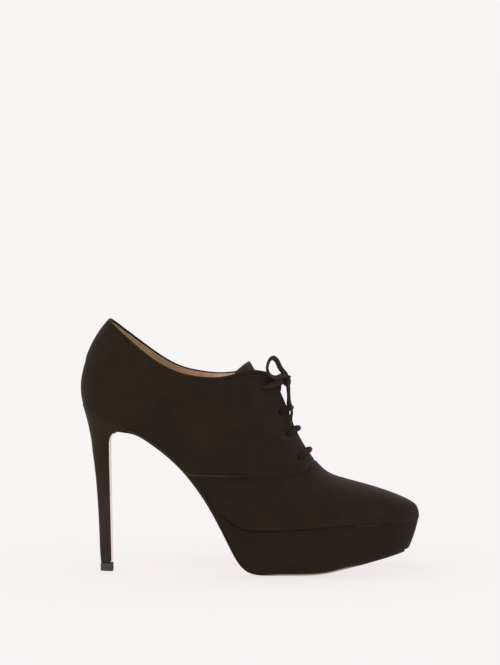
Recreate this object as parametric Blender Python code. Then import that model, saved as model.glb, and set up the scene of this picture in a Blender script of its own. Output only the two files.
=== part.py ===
"""Right lace-up platform shoe with a covered stiletto heel: upper, tongue, soles, heel and lace.

+X points to the toe, +Y to the inner (medial) side, +Z up. The shoe stands on z = 0.
Sizes are in millimetres and become metres when a mesh is made.
"""
import math

import bmesh
import bpy
import numpy as np
from mathutils import Vector

MM = 0.001

# Walls and clearances
CLEARANCE = 0.3
UPPER_WALL = 2.0
LAP_STEP = 0.6
LAP_ROWS = 0.035
TONGUE_WALL = 1.6
INSOLE_WALL = 1.6
INSOLE_INSET = 2.7
FOREPART_LEATHER = 1.5
BREAST_LEATHER = 1.2

# Platform cover and outsole outline, measured in from the feather line
PLATFORM_PROUD = 0.7
PLATFORM_REAR_X = -31.0
PLATFORM_SIDE_INSET = 3.0
PLATFORM_TOE_INSET = 6.4
OUTSOLE_SIDE_INSET = 5.2
OUTSOLE_TOE_INSET = 8.6
WAIST_INSET = 0.4
SEAT_INSET = 2.0
TOE_INSET_ROW = 10.0
WAIST_BLEND_ROWS = 1.5

# Platform wall from its top edge to its bottom edge: depth share and share of the inset
PLATFORM_WALL = ((0.0, 0.0), (0.35, 0.28), (0.7, 0.62), (0.95, 0.92), (1.0, 1.04))

# Throat between the facings
THROAT_HALF_GAP = 8.6
THROAT_NARROWING = 0.45
THROAT_TOP_ROW = 6.0
THROAT_FOOT_ROW = 9.0
THROAT_ROUND_ROWS = 0.8

# Heel breast: where the sole leather turns down, and where it ends above the top piece
BREAST_TURN_X = -90.0
BREAST_TURN_Z = 88.5
BREAST_REACH = 6.2
BREAST_FOOT_X = -94.6
BREAST_FOOT_Z = 6.6
HEEL_LIP_X = -84.4

# Top piece under the heel
TOP_PIECE_HEIGHT = 5.5
TOP_PIECE_BACK_X = -103.5
TOP_PIECE_FRONT_X = -94.5
TOP_PIECE_HALF_WIDTH = 4.7
TOP_PIECE_CHAMFER = 0.35

# Lace
LACE_DIAMETER = 2.1
KNOT_CENTRE = (25.6, 0.6, 132.0)
KNOT_HALF_SIZES = (2.5, 3.2, 4.2)

# Sections of the last from heel to toe. Each lies in a plane across the shoe, from the feather
# line at base_x to the topline or ridge at top_x, top_z. lateral and medial are the widest
# places, tuck is how far the wall draws in to the feather line, belly is the height share of the
# widest place, rim is the half width left open at the top, medial_rise lifts the inner topline.
SECTION_COLUMNS = (
    "base_x", "top_x", "top_z", "lateral", "medial", "tuck", "belly", "rim", "ridge_y", "fullness",
    "medial_rise",
)
SECTIONS = (
    (-115.8, -97.5, 174.6, 26.0, 26.0, 1.5, 0.30, 20.0, 0.0, 2.2, 0.0),
    (-103.0, -80.0, 160.0, 26.0, 26.0, 1.5, 0.30, 21.5, 0.0, 2.2, 0.5),
    (-87.0, -62.0, 146.5, 26.5, 26.0, 1.8, 0.30, 24.0, 0.0, 2.2, 0.9),
    (-71.0, -42.0, 138.2, 27.0, 25.0, 3.5, 0.35, 25.0, 0.0, 2.2, 0.3),
    (-55.0, -21.0, 136.0, 28.5, 24.5, 5.5, 0.40, 22.5, 0.3, 2.1, -0.4),
    (-41.0, -1.0, 140.1, 31.0, 27.0, 7.0, 0.42, 15.0, 0.8, 1.9, -1.6),
    (-29.0, 14.0, 139.6, 33.5, 30.0, 7.0, 0.42, 5.0, 1.2, 1.8, -0.8),
    (-17.0, 25.5, 118.0, 36.0, 33.5, 5.5, 0.38, 0.0, 1.6, 1.75, 0.0),
    (-4.0, 32.5, 98.0, 38.0, 36.5, 3.0, 0.32, 0.0, 2.0, 1.75, 0.0),
    (12.0, 45.0, 76.1, 40.0, 39.0, 1.8, 0.28, 0.0, 2.5, 1.8, 0.0),
    (30.0, 55.0, 66.8, 40.5, 41.0, 1.2, 0.25, 0.0, 3.2, 1.95, 0.0),
    (50.0, 68.0, 62.5, 37.0, 41.0, 1.0, 0.25, 0.0, 4.2, 2.1, 0.0),
    (72.0, 84.0, 58.0, 28.5, 37.5, 0.8, 0.25, 0.0, 5.2, 2.2, 0.0),
    (93.0, 100.0, 52.5, 17.5, 28.5, 0.6, 0.25, 0.0, 5.8, 2.4, 0.0),
    (107.0, 108.5, 48.8, 9.5, 21.5, 0.5, 0.25, 0.0, 6.0, 2.6, 0.0),
    (115.9, 110.6, 47.6, 4.0, 16.0, 0.5, 0.25, 0.0, 6.0, 2.6, 0.0),
)
HEEL_ROWS = 2.0
TOE_ROW = 13.0
LAST_ROW = len(SECTIONS) - 1.0
HEEL_ROUNDNESS = 2.1
TOE_ROUNDNESS = 2.6

# Rows between which the wall closes over the foot, and the rearmost row that the vamp seam reaches
CLOSING_ROWS = (4.0, 7.0)
SEAM_REAR_ROW = 4.0

# Swell of the back line and of the toe: depth, height share of its peak, power
BACK_SWELL = (-7.5, 0.50, 2.3)
TOE_SWELL = (3.4, 0.66, 2.4)

# Side-view lines as x, z: feather line (lower edge of the upper), outsole underside, vamp seam
FEATHER = (
    (-116.0, 116.8), (-86.0, 101.3), (-69.0, 92.6), (-52.0, 79.2), (-36.0, 60.5), (-22.0, 43.4),
    (-10.0, 33.6), (3.0, 31.2), (40.0, 32.8), (78.0, 34.6), (117.0, 33.8),
)
UNDERSIDE = (
    (-90.0, 97.8), (-81.0, 96.6), (-65.0, 87.0), (-48.0, 72.2), (-32.0, 51.6), (-19.3, 29.0),
    (-11.0, 12.3), (-6.9, 6.0), (-2.5, 2.2), (3.0, 0.3), (7.0, 0.0), (42.0, 0.0), (51.0, 0.6),
    (67.6, 3.9), (84.0, 7.3), (105.0, 12.2), (112.0, 14.0),
)
SLOPE_STEP = 0.2
VAMP_SEAM = ((-43.0, 69.0), (-10.0, 69.3), (20.0, 70.2), (34.0, 72.0), (45.0, 76.1))

# Heel rings from the seat to the foot: front and back on the centre line, and half width
HEEL_COLUMNS = ("front_x", "front_z", "back_x", "back_z", "half_width")
HEEL = (
    (-84.4, 99.9, -115.9, 116.4, 24.8),
    (-84.4, 98.9, -115.6, 115.0, 24.5),
    (-90.0, 99.3, -114.4, 111.0, 23.0),
    (-93.9, 97.8, -113.0, 106.0, 20.2),
    (-96.7, 93.9, -111.0, 97.5, 15.6),
    (-97.7, 88.5, -109.4, 88.5, 11.8),
    (-97.5, 78.0, -107.7, 78.0, 9.0),
    (-97.2, 62.0, -105.9, 62.0, 6.6),
    (-96.8, 42.0, -104.5, 42.0, 5.1),
    (-96.4, 22.0, -103.6, 22.0, 4.4),
    (-96.1, 5.8, -103.2, 5.8, 4.2),
)
HEEL_RINGS_PER_ROW = 2
HEEL_FLAT_SHARE = 0.12
HEEL_CORNER_SHARE = 0.93

# Outsole round the heel breast as height, half width
BREAST = ((6.0, 3.9), (22.0, 4.1), (42.0, 4.7), (62.0, 6.1), (78.0, 8.4), (88.5, 11.0), (98.0, 19.5))

# Tongue centre line from its sewn end to its free top, with half width and sag of its sides
TONGUE_COLUMNS = ("x", "z", "half_width", "sag")
TONGUE = (
    (51.3, 66.0, 8.0, 2.6),
    (42.6, 74.2, 11.0, 4.4),
    (36.2, 84.3, 13.0, 5.6),
    (29.4, 96.9, 14.0, 6.4),
    (20.5, 113.0, 15.0, 7.4),
    (10.6, 129.0, 14.4, 9.0),
    (3.4, 139.8, 13.4, 10.4),
    (0.4, 145.8, 12.6, 11.0),
)
TONGUE_Y = 1.4
TONGUE_TOP_NARROWING = 0.25
TONGUE_ROUND_ROWS = 0.35
TONGUE_BUNCHING = 1.25
TONGUE_STEP = 0.05

# Lace bars, lowest first: side view of the eyelet and of the bar's crown, power of its arch
BAR_COLUMNS = ("eyelet_x", "eyelet_z", "crown_x", "crown_z", "fullness")
BARS = (
    (33.6, 80.0, 42.0, 84.4, 2.3),
    (26.0, 96.0, 34.2, 99.2, 2.3),
    (21.0, 111.0, 29.2, 113.2, 2.3),
    (9.0, 127.5, 21.9, 130.3, 3.0),
)
BAR_POINTS = 13
BAR_END_LIFT = (0.8, 0.4)

# Routes of the bow's loops and ends, chosen by hand
ROUTES = {
    "lace_loop_lateral": (
        (24.4, -0.5, 136.4), (21.6, -3.4, 141.0), (18.8, -6.8, 146.2), (15.8, -9.4, 149.0),
        (13.2, -11.6, 146.8), (11.9, -13.8, 141.4), (13.4, -15.2, 136.8), (17.4, -12.8, 134.8),
        (21.0, -8.4, 134.4), (23.6, -4.2, 133.8),
    ),
    "lace_loop_medial": (
        (24.2, 4.8, 135.2), (22.6, 9.4, 134.6), (19.6, 14.6, 133.4), (15.6, 19.4, 130.6),
        (12.0, 23.2, 126.0), (10.6, 25.2, 120.6), (12.6, 24.6, 116.2), (16.0, 21.4, 117.4),
        (19.0, 16.8, 122.2), (21.4, 11.6, 127.4), (24.0, 7.0, 131.2),
    ),
    "lace_end_lateral": (
        (26.4, -4.9, 131.4), (26.8, -6.4, 127.2), (26.9, -8.2, 122.6), (27.3, -9.8, 118.4),
        (28.3, -11.2, 114.4), (28.7, -12.0, 110.4), (28.2, -12.4, 106.2), (28.6, -12.6, 101.8),
    ),
    "lace_end_medial": (
        (26.2, 4.6, 127.2), (26.7, 7.2, 123.2), (26.8, 10.2, 119.4), (26.6, 13.4, 115.8),
        (26.4, 16.0, 111.8), (26.4, 17.6, 107.4), (26.2, 18.6, 103.2), (25.8, 19.6, 99.6),
    ),
}
ROUTE_STEP = 2.0 * LACE_DIAMETER
ROUTE_SAMPLES = 24

# Mesh density
QUARTER_COLUMNS = 24
QUARTER_BUNCHING = 1.5
VAMP_COLUMNS = 18
VAMP_BUNCHING = 1.6
WALL_ROWS = 12
EASED_FROM = 5
EASING_PASSES = 10
SOLE_STATIONS = 44
WAIST_STATIONS = 12
SEAT_STATIONS = 3
RING_STEP = 0.004
TURN_RINGS = 8
LEG_RINGS = 10
HEEL_ARC_POINTS = 8
TONGUE_ALONG = 22
TONGUE_ACROSS = 10


def smooth_curve(places, values):
    """A function through the given values that never overshoots them."""
    places = np.asarray(places, float)
    values = np.asarray(values, float)
    widths = np.diff(places)
    rises = np.diff(values) / widths
    slopes = np.zeros(len(places))
    slopes[0], slopes[-1] = rises[0], rises[-1]
    for i in range(1, len(places) - 1):
        before, after = rises[i - 1], rises[i]
        if before * after > 0:
            weight_a = 2 * widths[i] + widths[i - 1]
            weight_b = widths[i] + 2 * widths[i - 1]
            slopes[i] = (weight_a + weight_b) / (weight_a / before + weight_b / after)

    def at(place):
        i = int(np.clip(np.searchsorted(places, place) - 1, 0, len(places) - 2))
        f = (place - places[i]) / widths[i]
        start = values[i] * (1 + 2 * f) + slopes[i] * widths[i] * f
        end = values[i + 1] * (3 - 2 * f) - slopes[i + 1] * widths[i] * (1 - f)
        return float(start * (1 - f) ** 2 + end * f ** 2)

    return at


def by_row(columns, rows):
    """Each column of a table as a function of the fractional row."""
    places = range(len(rows))
    return {name: smooth_curve(places, [row[k] for row in rows]) for k, name in enumerate(columns)}


def line(rows):
    """A two-column table as a function of its first column."""
    return smooth_curve([row[0] for row in rows], [row[1] for row in rows])


LAST = by_row(SECTION_COLUMNS, SECTIONS)
feather_z = line(FEATHER)
underside_z = line(UNDERSIDE)
vamp_seam_z = line(VAMP_SEAM)
breast_half_width = line(BREAST)
LATERAL, MEDIAL = -1, 1


def swell(shape, height):
    """Bow of the back line or toe at a height share."""
    depth, peak, power = shape
    reach = peak if height < peak else 1.0 - peak
    return depth * (1.0 - abs((height - peak) / reach) ** power)


def end_rounding(row):
    """Share of the nominal width that the round heel and toe leave."""
    share = 1.0
    if row < HEEL_ROWS:
        share = max(0.0, 1.0 - (1.0 - row / HEEL_ROWS) ** HEEL_ROUNDNESS) ** (1 / HEEL_ROUNDNESS)
    if row > TOE_ROW:
        tau = (row - TOE_ROW) / (LAST_ROW - TOE_ROW)
        share = max(0.0, 1.0 - tau ** TOE_ROUNDNESS) ** (1 / TOE_ROUNDNESS)
    return share


def half_width(row, side):
    """Widest half width of a section, measured from its ridge."""
    if side == LATERAL:
        return LAST["lateral"](row) + LAST["ridge_y"](row)
    return LAST["medial"](row) - LAST["ridge_y"](row)


def width_share(row, height, side):
    """Share of the widest half width at a height share of the section."""
    half = half_width(row, side)
    belly = LAST["belly"](row)
    if height < belly:
        return 1.0 - LAST["tuck"](row) / half * ((belly - height) / belly) ** 2
    power = LAST["fullness"](row)
    closing = 1.0 - (max(0.0, LAST["rim"](row)) / half) ** power
    climb = (height - belly) / (1.0 - belly)
    return max(0.0, 1.0 - closing * climb ** power) ** (1 / power)


def last_point(row, height, side):
    """Point on the outside of the last."""
    base_x = LAST["base_x"](row)
    base_z = feather_z(base_x)
    top_z = LAST["top_z"](row) + (LAST["medial_rise"](row) if side == MEDIAL else 0.0)
    x = base_x + (LAST["top_x"](row) - base_x) * height
    if row < HEEL_ROWS:
        x += swell(BACK_SWELL, height) * (1.0 - row / HEEL_ROWS) ** 2
    if row > TOE_ROW:
        x += swell(TOE_SWELL, height) * ((row - TOE_ROW) / (LAST_ROW - TOE_ROW)) ** 2
    z = base_z + (top_z - base_z) * height
    spread = half_width(row, side) * width_share(row, height, side) * end_rounding(row)
    return np.array((x, LAST["ridge_y"](row) + side * spread, z))


def throat_edge(row):
    """Half gap between the facings, closing round at the foot of the throat."""
    if row >= THROAT_FOOT_ROW:
        return 0.0
    down = max(0.0, row - THROAT_TOP_ROW) / (THROAT_FOOT_ROW - THROAT_TOP_ROW)
    gap = THROAT_HALF_GAP * (1.0 - THROAT_NARROWING * down)
    into_round = (row - (THROAT_FOOT_ROW - THROAT_ROUND_ROWS)) / THROAT_ROUND_ROWS
    return gap * math.sqrt(1.0 - max(0.0, into_round) ** 2)


def top_height(row, side):
    """Height share where the wall ends at the topline or facing edge."""
    edge = throat_edge(row)
    if edge <= LAST["rim"](row) or row < HEEL_ROWS:
        return 1.0
    half = half_width(row, side)
    power = LAST["fullness"](row)
    closing = 1.0 - (max(0.0, LAST["rim"](row)) / half) ** power
    belly = LAST["belly"](row)
    climb = ((1.0 - (edge / half) ** power) / closing) ** (1 / power)
    return belly + (1.0 - belly) * min(1.0, climb)


def wall_height(row, rise, side):
    """Height share at a share of the wall, with finer steps where the wall closes over the foot."""
    closeness = float(np.interp(row, CLOSING_ROWS, (0.0, 1.0)))
    eased = (1.0 - closeness) * rise + closeness * math.sin(rise * math.pi / 2)
    return eased * top_height(row, side)


def wall_point(row, rise, side):
    return last_point(row, wall_height(row, rise, side), side)


def bisect(test, low, high):
    """Place between low and high where a test value changes sign from plus to minus."""
    for _ in range(50):
        middle = (low + high) / 2
        if test(middle) > 0:
            low = middle
        else:
            high = middle
    return (low + high) / 2


def seam_row(rise, side):
    """Row where the vamp seam crosses a share of the wall."""
    if rise >= 1.0:
        return THROAT_FOOT_ROW

    def above_seam(row):
        point = wall_point(row, rise, side)
        return point[2] - vamp_seam_z(point[0])

    return bisect(above_seam, SEAM_REAR_ROW, THROAT_FOOT_ROW)


def flank_point(x, z, side):
    """Point on the outside of the last that has the given side-view place."""
    def ahead(row):
        base_x = LAST["base_x"](row)
        base_z = feather_z(base_x)
        run, climb = LAST["top_x"](row) - base_x, LAST["top_z"](row) - base_z
        return (x - base_x) * climb - (z - base_z) * run

    row = bisect(ahead, HEEL_ROWS, LAST_ROW - 1.0)
    base_z = feather_z(LAST["base_x"](row))
    return last_point(row, (z - base_z) / (LAST["top_z"](row) - base_z), side)


def material(name, colour, roughness):
    made = bpy.data.materials.new(name)
    made.use_nodes = True
    shader = made.node_tree.nodes["Principled BSDF"]
    shader.inputs["Base Color"].default_value = (*colour, 1.0)
    shader.inputs["Roughness"].default_value = roughness
    shader.inputs["Metallic"].default_value = 0.0
    return made


def add_object(name, mesh, finish):
    mesh.materials.append(finish)
    made = bpy.data.objects.new(name, mesh)
    bpy.context.scene.collection.objects.link(made)
    return made


def mesh_from(name, points, faces, finish, closed=True):
    """Object from millimetre points, with doubles merged and smooth faces turned outwards."""
    mesh = bpy.data.meshes.new(name)
    mesh.from_pydata([Vector(p) * MM for p in points], [], faces)
    shape = bmesh.new()
    shape.from_mesh(mesh)
    bmesh.ops.remove_doubles(shape, verts=shape.verts, dist=1e-6)
    bmesh.ops.dissolve_degenerate(shape, edges=shape.edges, dist=1e-6)
    if closed:
        bmesh.ops.recalc_face_normals(shape, faces=shape.faces)
    shape.to_mesh(mesh)
    shape.free()
    mesh.shade_smooth()
    return add_object(name, mesh, finish)


def loft(name, rings, finish, cap_start=True, cap_end=True):
    """Closed skin over rings of equal length."""
    size = len(rings[0])
    points = [p for ring in rings for p in ring]
    faces = []
    for k in range(len(rings) - 1):
        for i in range(size):
            j = (i + 1) % size
            faces.append((k * size + i, k * size + j, (k + 1) * size + j, (k + 1) * size + i))
    if cap_start:
        faces.append(tuple(range(size)))
    if cap_end:
        faces.append(tuple(range((len(rings) - 1) * size, len(rings) * size)))
    made = mesh_from(name, points, faces, finish)
    made.data.set_sharp_from_angle(angle=math.radians(40))
    return made


def solidify(made, wall):
    thick = made.modifiers.new("wall", "SOLIDIFY")
    thick.thickness = wall * MM
    thick.offset = -1.0
    thick.use_rim = True


def make_upper(finish):
    """One hollow wall: quarters round the heel, and a vamp that laps over them at the seam."""
    rises = [j / WALL_ROWS for j in range(WALL_ROWS + 1)]
    quarter_shares = [(k / QUARTER_COLUMNS) ** QUARTER_BUNCHING for k in range(QUARTER_COLUMNS + 1)]
    vamp_shares = [1.0 - (1.0 - k / VAMP_COLUMNS) ** VAMP_BUNCHING for k in range(VAMP_COLUMNS + 1)]
    shape = bmesh.new()
    lap = shape.verts.layers.int.new("lap")
    base = shape.verts.layers.int.new("base")
    eased = shape.verts.layers.int.new("eased")
    for side in (LATERAL, MEDIAL):
        seams = [seam_row(rise, side) for rise in rises]
        columns = []
        for share in quarter_shares:
            columns.append([wall_point(share * seam, rise, side) for seam, rise in zip(seams, rises)])
        for share in vamp_shares:
            column = []
            for seam, rise in zip(seams, rises):
                row = seam + LAP_ROWS + share * (LAST_ROW - seam - LAP_ROWS)
                column.append(wall_point(row, rise, side))
            columns.append(column)
        grid = [[shape.verts.new(Vector(p) * MM) for p in column] for column in columns]
        for vert in (vert for column in grid[QUARTER_COLUMNS + 1:] for vert in column):
            vert[lap] = 1
        for column in grid:
            column[0][base] = 1
        for vert in (vert for column in grid[EASED_FROM:QUARTER_COLUMNS] for vert in column[1:-1]):
            vert[eased] = 1
        for left, right in zip(grid, grid[1:]):
            for j in range(WALL_ROWS):
                corners = (left[j], right[j], right[j + 1], left[j + 1])
                shape.faces.new(corners if side == LATERAL else corners[::-1])
    bmesh.ops.remove_doubles(shape, verts=shape.verts, dist=1e-6)
    bmesh.ops.dissolve_degenerate(shape, edges=shape.edges, dist=1e-6)
    for _ in range(EASING_PASSES):
        moving = [vert for vert in shape.verts if vert[eased]]
        bmesh.ops.smooth_vert(
            shape, verts=moving, factor=0.5, use_axis_x=True, use_axis_y=True, use_axis_z=True,
        )
    shape.normal_update()
    add_lining_side(shape, lap, base)
    mesh = bpy.data.meshes.new("upper")
    shape.to_mesh(mesh)
    shape.free()
    mesh.shade_smooth()
    add_object("upper", mesh, finish)


def add_lining_side(shape, lap, base):
    """Inner face of the wall and its edges; then the vamp is lifted by the lap."""
    outer_faces = list(shape.faces)
    outer_verts = list(shape.verts)
    rims = [edge.link_loops[0] for edge in shape.edges if edge.is_boundary]
    rims = [(loop.vert, loop.link_loop_next.vert) for loop in rims]
    normals = [vert.normal.copy() for vert in outer_verts]
    inner = {}
    for vert, normal in zip(outer_verts, normals):
        inner[vert] = shape.verts.new(vert.co - normal * UPPER_WALL * MM)
    for face in outer_faces:
        shape.faces.new([inner[vert] for vert in reversed(face.verts)])
    for start, end in rims:
        shape.faces.new((end, start, inner[start], inner[end]))
    for vert, normal in zip(outer_verts, normals):
        if vert[lap]:
            vert.co += normal * LAP_STEP * MM
        if vert[base]:
            vert.co.z = feather_z(vert.co.x / MM) * MM
            inner[vert].co.z = max(inner[vert].co.z, feather_z(inner[vert].co.x / MM) * MM)


def outline_point(row, side, side_inset, toe_inset):
    """Place on an outline drawn in from the feather line."""
    toeward = max(0.0, (row - TOE_INSET_ROW) / (LAST_ROW - TOE_INSET_ROW)) ** 2
    x = LAST["base_x"](row) - toe_inset * toeward
    spread = (half_width(row, side) - LAST["tuck"](row) - side_inset) * end_rounding(row)
    return x, LAST["ridge_y"](row) + side * spread


def row_at(base_x):
    return bisect(lambda row: base_x - LAST["base_x"](row), 0.0, LAST_ROW)


def underside_slope(x):
    return (underside_z(x + SLOPE_STEP) - underside_z(x - SLOPE_STEP)) / (2 * SLOPE_STEP)


def upright(size, x):
    """Height of a layer of the given thickness on the sloped underside."""
    return size * math.hypot(1.0, underside_slope(x))


def make_platform(finish):
    """Covered wedge between upper and outsole."""
    start = row_at(PLATFORM_REAR_X)
    count = SOLE_STATIONS
    rows = [start + (LAST_ROW - start) * math.sin(k / count * math.pi / 2) for k in range(count + 1)]
    rings = []
    for row in rows:
        ring = []
        for side in (LATERAL, MEDIAL):
            wall = []
            for depth, share in PLATFORM_WALL:
                inset = PLATFORM_SIDE_INSET * share - PLATFORM_PROUD
                x, y = outline_point(row, side, inset, PLATFORM_TOE_INSET * share - PLATFORM_PROUD)
                top = feather_z(LAST["base_x"](row)) - CLEARANCE
                low = underside_z(x) + upright(FOREPART_LEATHER + CLEARANCE, x)
                wall.append((x, y, top + (low - top) * depth))
            ring += wall if side == LATERAL else wall[::-1]
        rings.append(ring)
    loft("platform", rings, finish, cap_end=False)


def breast_path():
    """Outer line of the leather round the turn and down the breast, with its inward direction."""
    path = []
    rise = underside_z(BREAST_TURN_X) - BREAST_TURN_Z
    for k in range(1, TURN_RINGS + 1):
        angle = k / TURN_RINGS * math.pi / 2
        x = BREAST_TURN_X - BREAST_REACH * math.sin(angle)
        z = BREAST_TURN_Z + rise * math.cos(angle)
        inward = np.array((-math.sin(angle) / BREAST_REACH, math.cos(angle) / rise))
        path.append((x, z, inward / np.linalg.norm(inward)))
    top_x = BREAST_TURN_X - BREAST_REACH
    for k in range(1, LEG_RINGS + 1):
        f = k / LEG_RINGS
        x = top_x + (BREAST_FOOT_X - top_x) * f
        z = BREAST_TURN_Z + (BREAST_FOOT_Z - BREAST_TURN_Z) * f
        path.append((x, z, np.array((-1.0, 0.0))))
    return path


def make_outsole(finish):
    """Thin leather from the toe to the waist, turned down the front of the heel."""
    start = row_at(BREAST_TURN_X)
    lip = row_at(HEEL_LIP_X + CLEARANCE)
    rear = row_at(PLATFORM_REAR_X - 2 * CLEARANCE)
    ahead = [math.sin(k / SOLE_STATIONS * math.pi / 2) for k in range(SOLE_STATIONS + 1)]
    fore = [rear + (LAST_ROW - rear) * share for share in ahead]
    waist = [lip + (rear - lip) * k / WAIST_STATIONS for k in range(WAIST_STATIONS + 1)]
    seat = [start + (lip - start) * k / SEAT_STATIONS for k in range(SEAT_STATIONS + 1)]
    rings = []

    def ring_at(row, inset, toe_inset, leather):
        ends = [outline_point(row, side, inset, toe_inset) for side in (LATERAL, MEDIAL)]
        x = ends[0][0]
        low = underside_z(x)
        top = feather_z(x) - CLEARANCE if leather is None else low + upright(leather, x)
        (_, left), (_, right) = ends
        return [(x, left, low), (x, right, low), (x, right, top), (x, left, top)]

    for row in reversed(fore):
        blend = float(np.clip((row - rear) / WAIST_BLEND_ROWS, 0.0, 1.0))
        inset = WAIST_INSET + (OUTSOLE_SIDE_INSET - WAIST_INSET) * blend
        rings.append(ring_at(row, inset, OUTSOLE_TOE_INSET, FOREPART_LEATHER))
    for row in reversed(waist):
        rings.append(ring_at(row - RING_STEP, WAIST_INSET, 0.0, None))
    for row in reversed(seat):
        share = (lip - row) / (lip - start)
        inset = WAIST_INSET + (SEAT_INSET - WAIST_INSET) * share
        rings.append(ring_at(row - 2 * RING_STEP, inset, 0.0, BREAST_LEATHER))
    for x, z, inward in breast_path():
        half = breast_half_width(z)
        inner_x, inner_z = np.array((x, z)) + inward * BREAST_LEATHER
        rings.append([(x, -half, z), (x, half, z), (inner_x, half, inner_z), (inner_x, -half, inner_z)])
    loft("outsole", rings, finish, cap_start=False)


def heel_ring(front, back, half):
    """D-shaped ring: straight breast, round back, in the plane from front to back."""
    front, back = np.array(front), np.array(back)
    arc = [math.sin(k / HEEL_ARC_POINTS * math.pi / 2) for k in range(HEEL_ARC_POINTS + 1)]
    shares = [0.0, HEEL_FLAT_SHARE / 2] + [HEEL_FLAT_SHARE + (1 - HEEL_FLAT_SHARE) * a for a in arc]
    ring = []
    for side in (LATERAL, MEDIAL):
        wall = []
        for share in shares:
            round_part = max(0.0, (share - HEEL_FLAT_SHARE) / (1 - HEEL_FLAT_SHARE))
            corner = HEEL_CORNER_SHARE if share == 0.0 else 1.0
            spread = half * corner * max(0.0, 1.0 - round_part ** HEEL_ROUNDNESS) ** (1 / HEEL_ROUNDNESS)
            x, z = front + (back - front) * share
            wall.append((x, side * spread, z))
        ring += wall if side == LATERAL else wall[-2::-1]
    return ring


def make_heel(finish):
    """Covered stiletto block, from the seat under the upper to the foot above the top piece."""
    shape = by_row(HEEL_COLUMNS, HEEL)
    rings = []
    for k in range((len(HEEL) - 1) * HEEL_RINGS_PER_ROW + 1):
        row = k / HEEL_RINGS_PER_ROW
        front = (shape["front_x"](row), shape["front_z"](row))
        back = (shape["back_x"](row), shape["back_z"](row))
        rings.append(heel_ring(front, back, shape["half_width"](row)))
    rings[0] = [(x, y, feather_z(x) - CLEARANCE) for x, y, _ in rings[0]]
    loft("heel", rings, finish)


def make_top_piece(finish):
    chamfers = (TOP_PIECE_CHAMFER, 0.0, 0.0, TOP_PIECE_CHAMFER)
    heights = (0.0, TOP_PIECE_CHAMFER, TOP_PIECE_HEIGHT - TOP_PIECE_CHAMFER, TOP_PIECE_HEIGHT)
    rings = []
    for z, chamfer in zip(heights, chamfers):
        front = (TOP_PIECE_FRONT_X - chamfer, z)
        back = (TOP_PIECE_BACK_X + chamfer, z)
        rings.append(heel_ring(front, back, TOP_PIECE_HALF_WIDTH - chamfer))
    loft("top_piece", rings, finish)


def make_insole(finish):
    """Thin bed inside the upper, on platform, waist and heel seat."""
    count = SOLE_STATIONS
    rings = []
    for k in range(count + 1):
        row = LAST_ROW * (1.0 - math.cos(k / count * math.pi)) / 2
        shift = INSOLE_INSET * (1.0 - 2.0 * k / count)
        ring = []
        for side in (LATERAL, MEDIAL):
            x, y = outline_point(row, side, INSOLE_INSET, 0.0)
            x += shift
            low = feather_z(x)
            wall = [(x, y, low), (x, y, low + INSOLE_WALL)]
            ring += wall if side == LATERAL else wall[::-1]
        rings.append(ring)
    loft("insole", rings, finish, cap_start=False, cap_end=False)


def make_tongue(finish):
    """Curved flap under the throat, with a rounded free top."""
    shape = by_row(TONGUE_COLUMNS, TONGUE)
    end_row = len(TONGUE) - 1.0
    points = []
    for k in range(TONGUE_ALONG + 1):
        row = end_row * (1.0 - (1.0 - k / TONGUE_ALONG) ** TONGUE_BUNCHING)
        x, z = shape["x"](row), shape["z"](row)
        before, after = max(0.0, row - TONGUE_STEP), min(end_row, row + TONGUE_STEP)
        ahead = np.array([shape[axis](after) - shape[axis](before) for axis in ("x", "z")])
        inward = np.array((-ahead[1], ahead[0])) / np.linalg.norm(ahead)
        into_round = max(0.0, 1.0 - (end_row - row) / TONGUE_ROUND_ROWS)
        narrowing = 1.0 - TONGUE_TOP_NARROWING * into_round ** 2
        for i in range(TONGUE_ACROSS + 1):
            share = (2.0 * i / TONGUE_ACROSS - 1.0) * narrowing
            drop = inward * shape["sag"](row) * share ** 2
            points.append((x + drop[0], TONGUE_Y + shape["half_width"](row) * share, z + drop[1]))
    width = TONGUE_ACROSS + 1
    faces = []
    for k in range(TONGUE_ALONG):
        for i in range(TONGUE_ACROSS):
            corner = k * width + i
            faces.append((corner, corner + 1, corner + width + 1, corner + width))
    solidify(mesh_from("tongue", points, faces, finish, closed=False), TONGUE_WALL)


def add_tube(name, points, finish):
    """Round lace along the points, with closed ends."""
    curve = bpy.data.curves.new(name, "CURVE")
    curve.dimensions = "3D"
    curve.bevel_depth = LACE_DIAMETER / 2 * MM
    curve.bevel_resolution = 2
    curve.use_fill_caps = True
    spline = curve.splines.new("POLY")
    spline.points.add(len(points) - 1)
    for place, point in zip(spline.points, points):
        place.co = (*(Vector(point) * MM), 1.0)
    add_object(name, curve, finish)


def along_route(route, step):
    """Evenly spaced points on a smooth curve through a route."""
    route = [np.array(p, float) for p in route]
    padded = [2 * route[0] - route[1]] + route + [2 * route[-1] - route[-2]]
    fine = []
    for a, b, c, d in zip(padded, padded[1:], padded[2:], padded[3:]):
        for f in np.linspace(0.0, 1.0, ROUTE_SAMPLES, endpoint=False):
            bend = (2 * a - 5 * b + 4 * c - d) * f ** 2 + (3 * b - a - 3 * c + d) * f ** 3
            fine.append((2 * b + (c - a) * f + bend) / 2)
    fine = np.array(fine + [route[-1]])
    lengths = np.concatenate(([0.0], np.cumsum(np.linalg.norm(np.diff(fine, axis=0), axis=1))))
    places = np.linspace(0.0, lengths[-1], max(2, round(lengths[-1] / step)) + 1)
    return [tuple(np.interp(place, lengths, fine[:, axis]) for axis in range(3)) for place in places]


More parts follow.
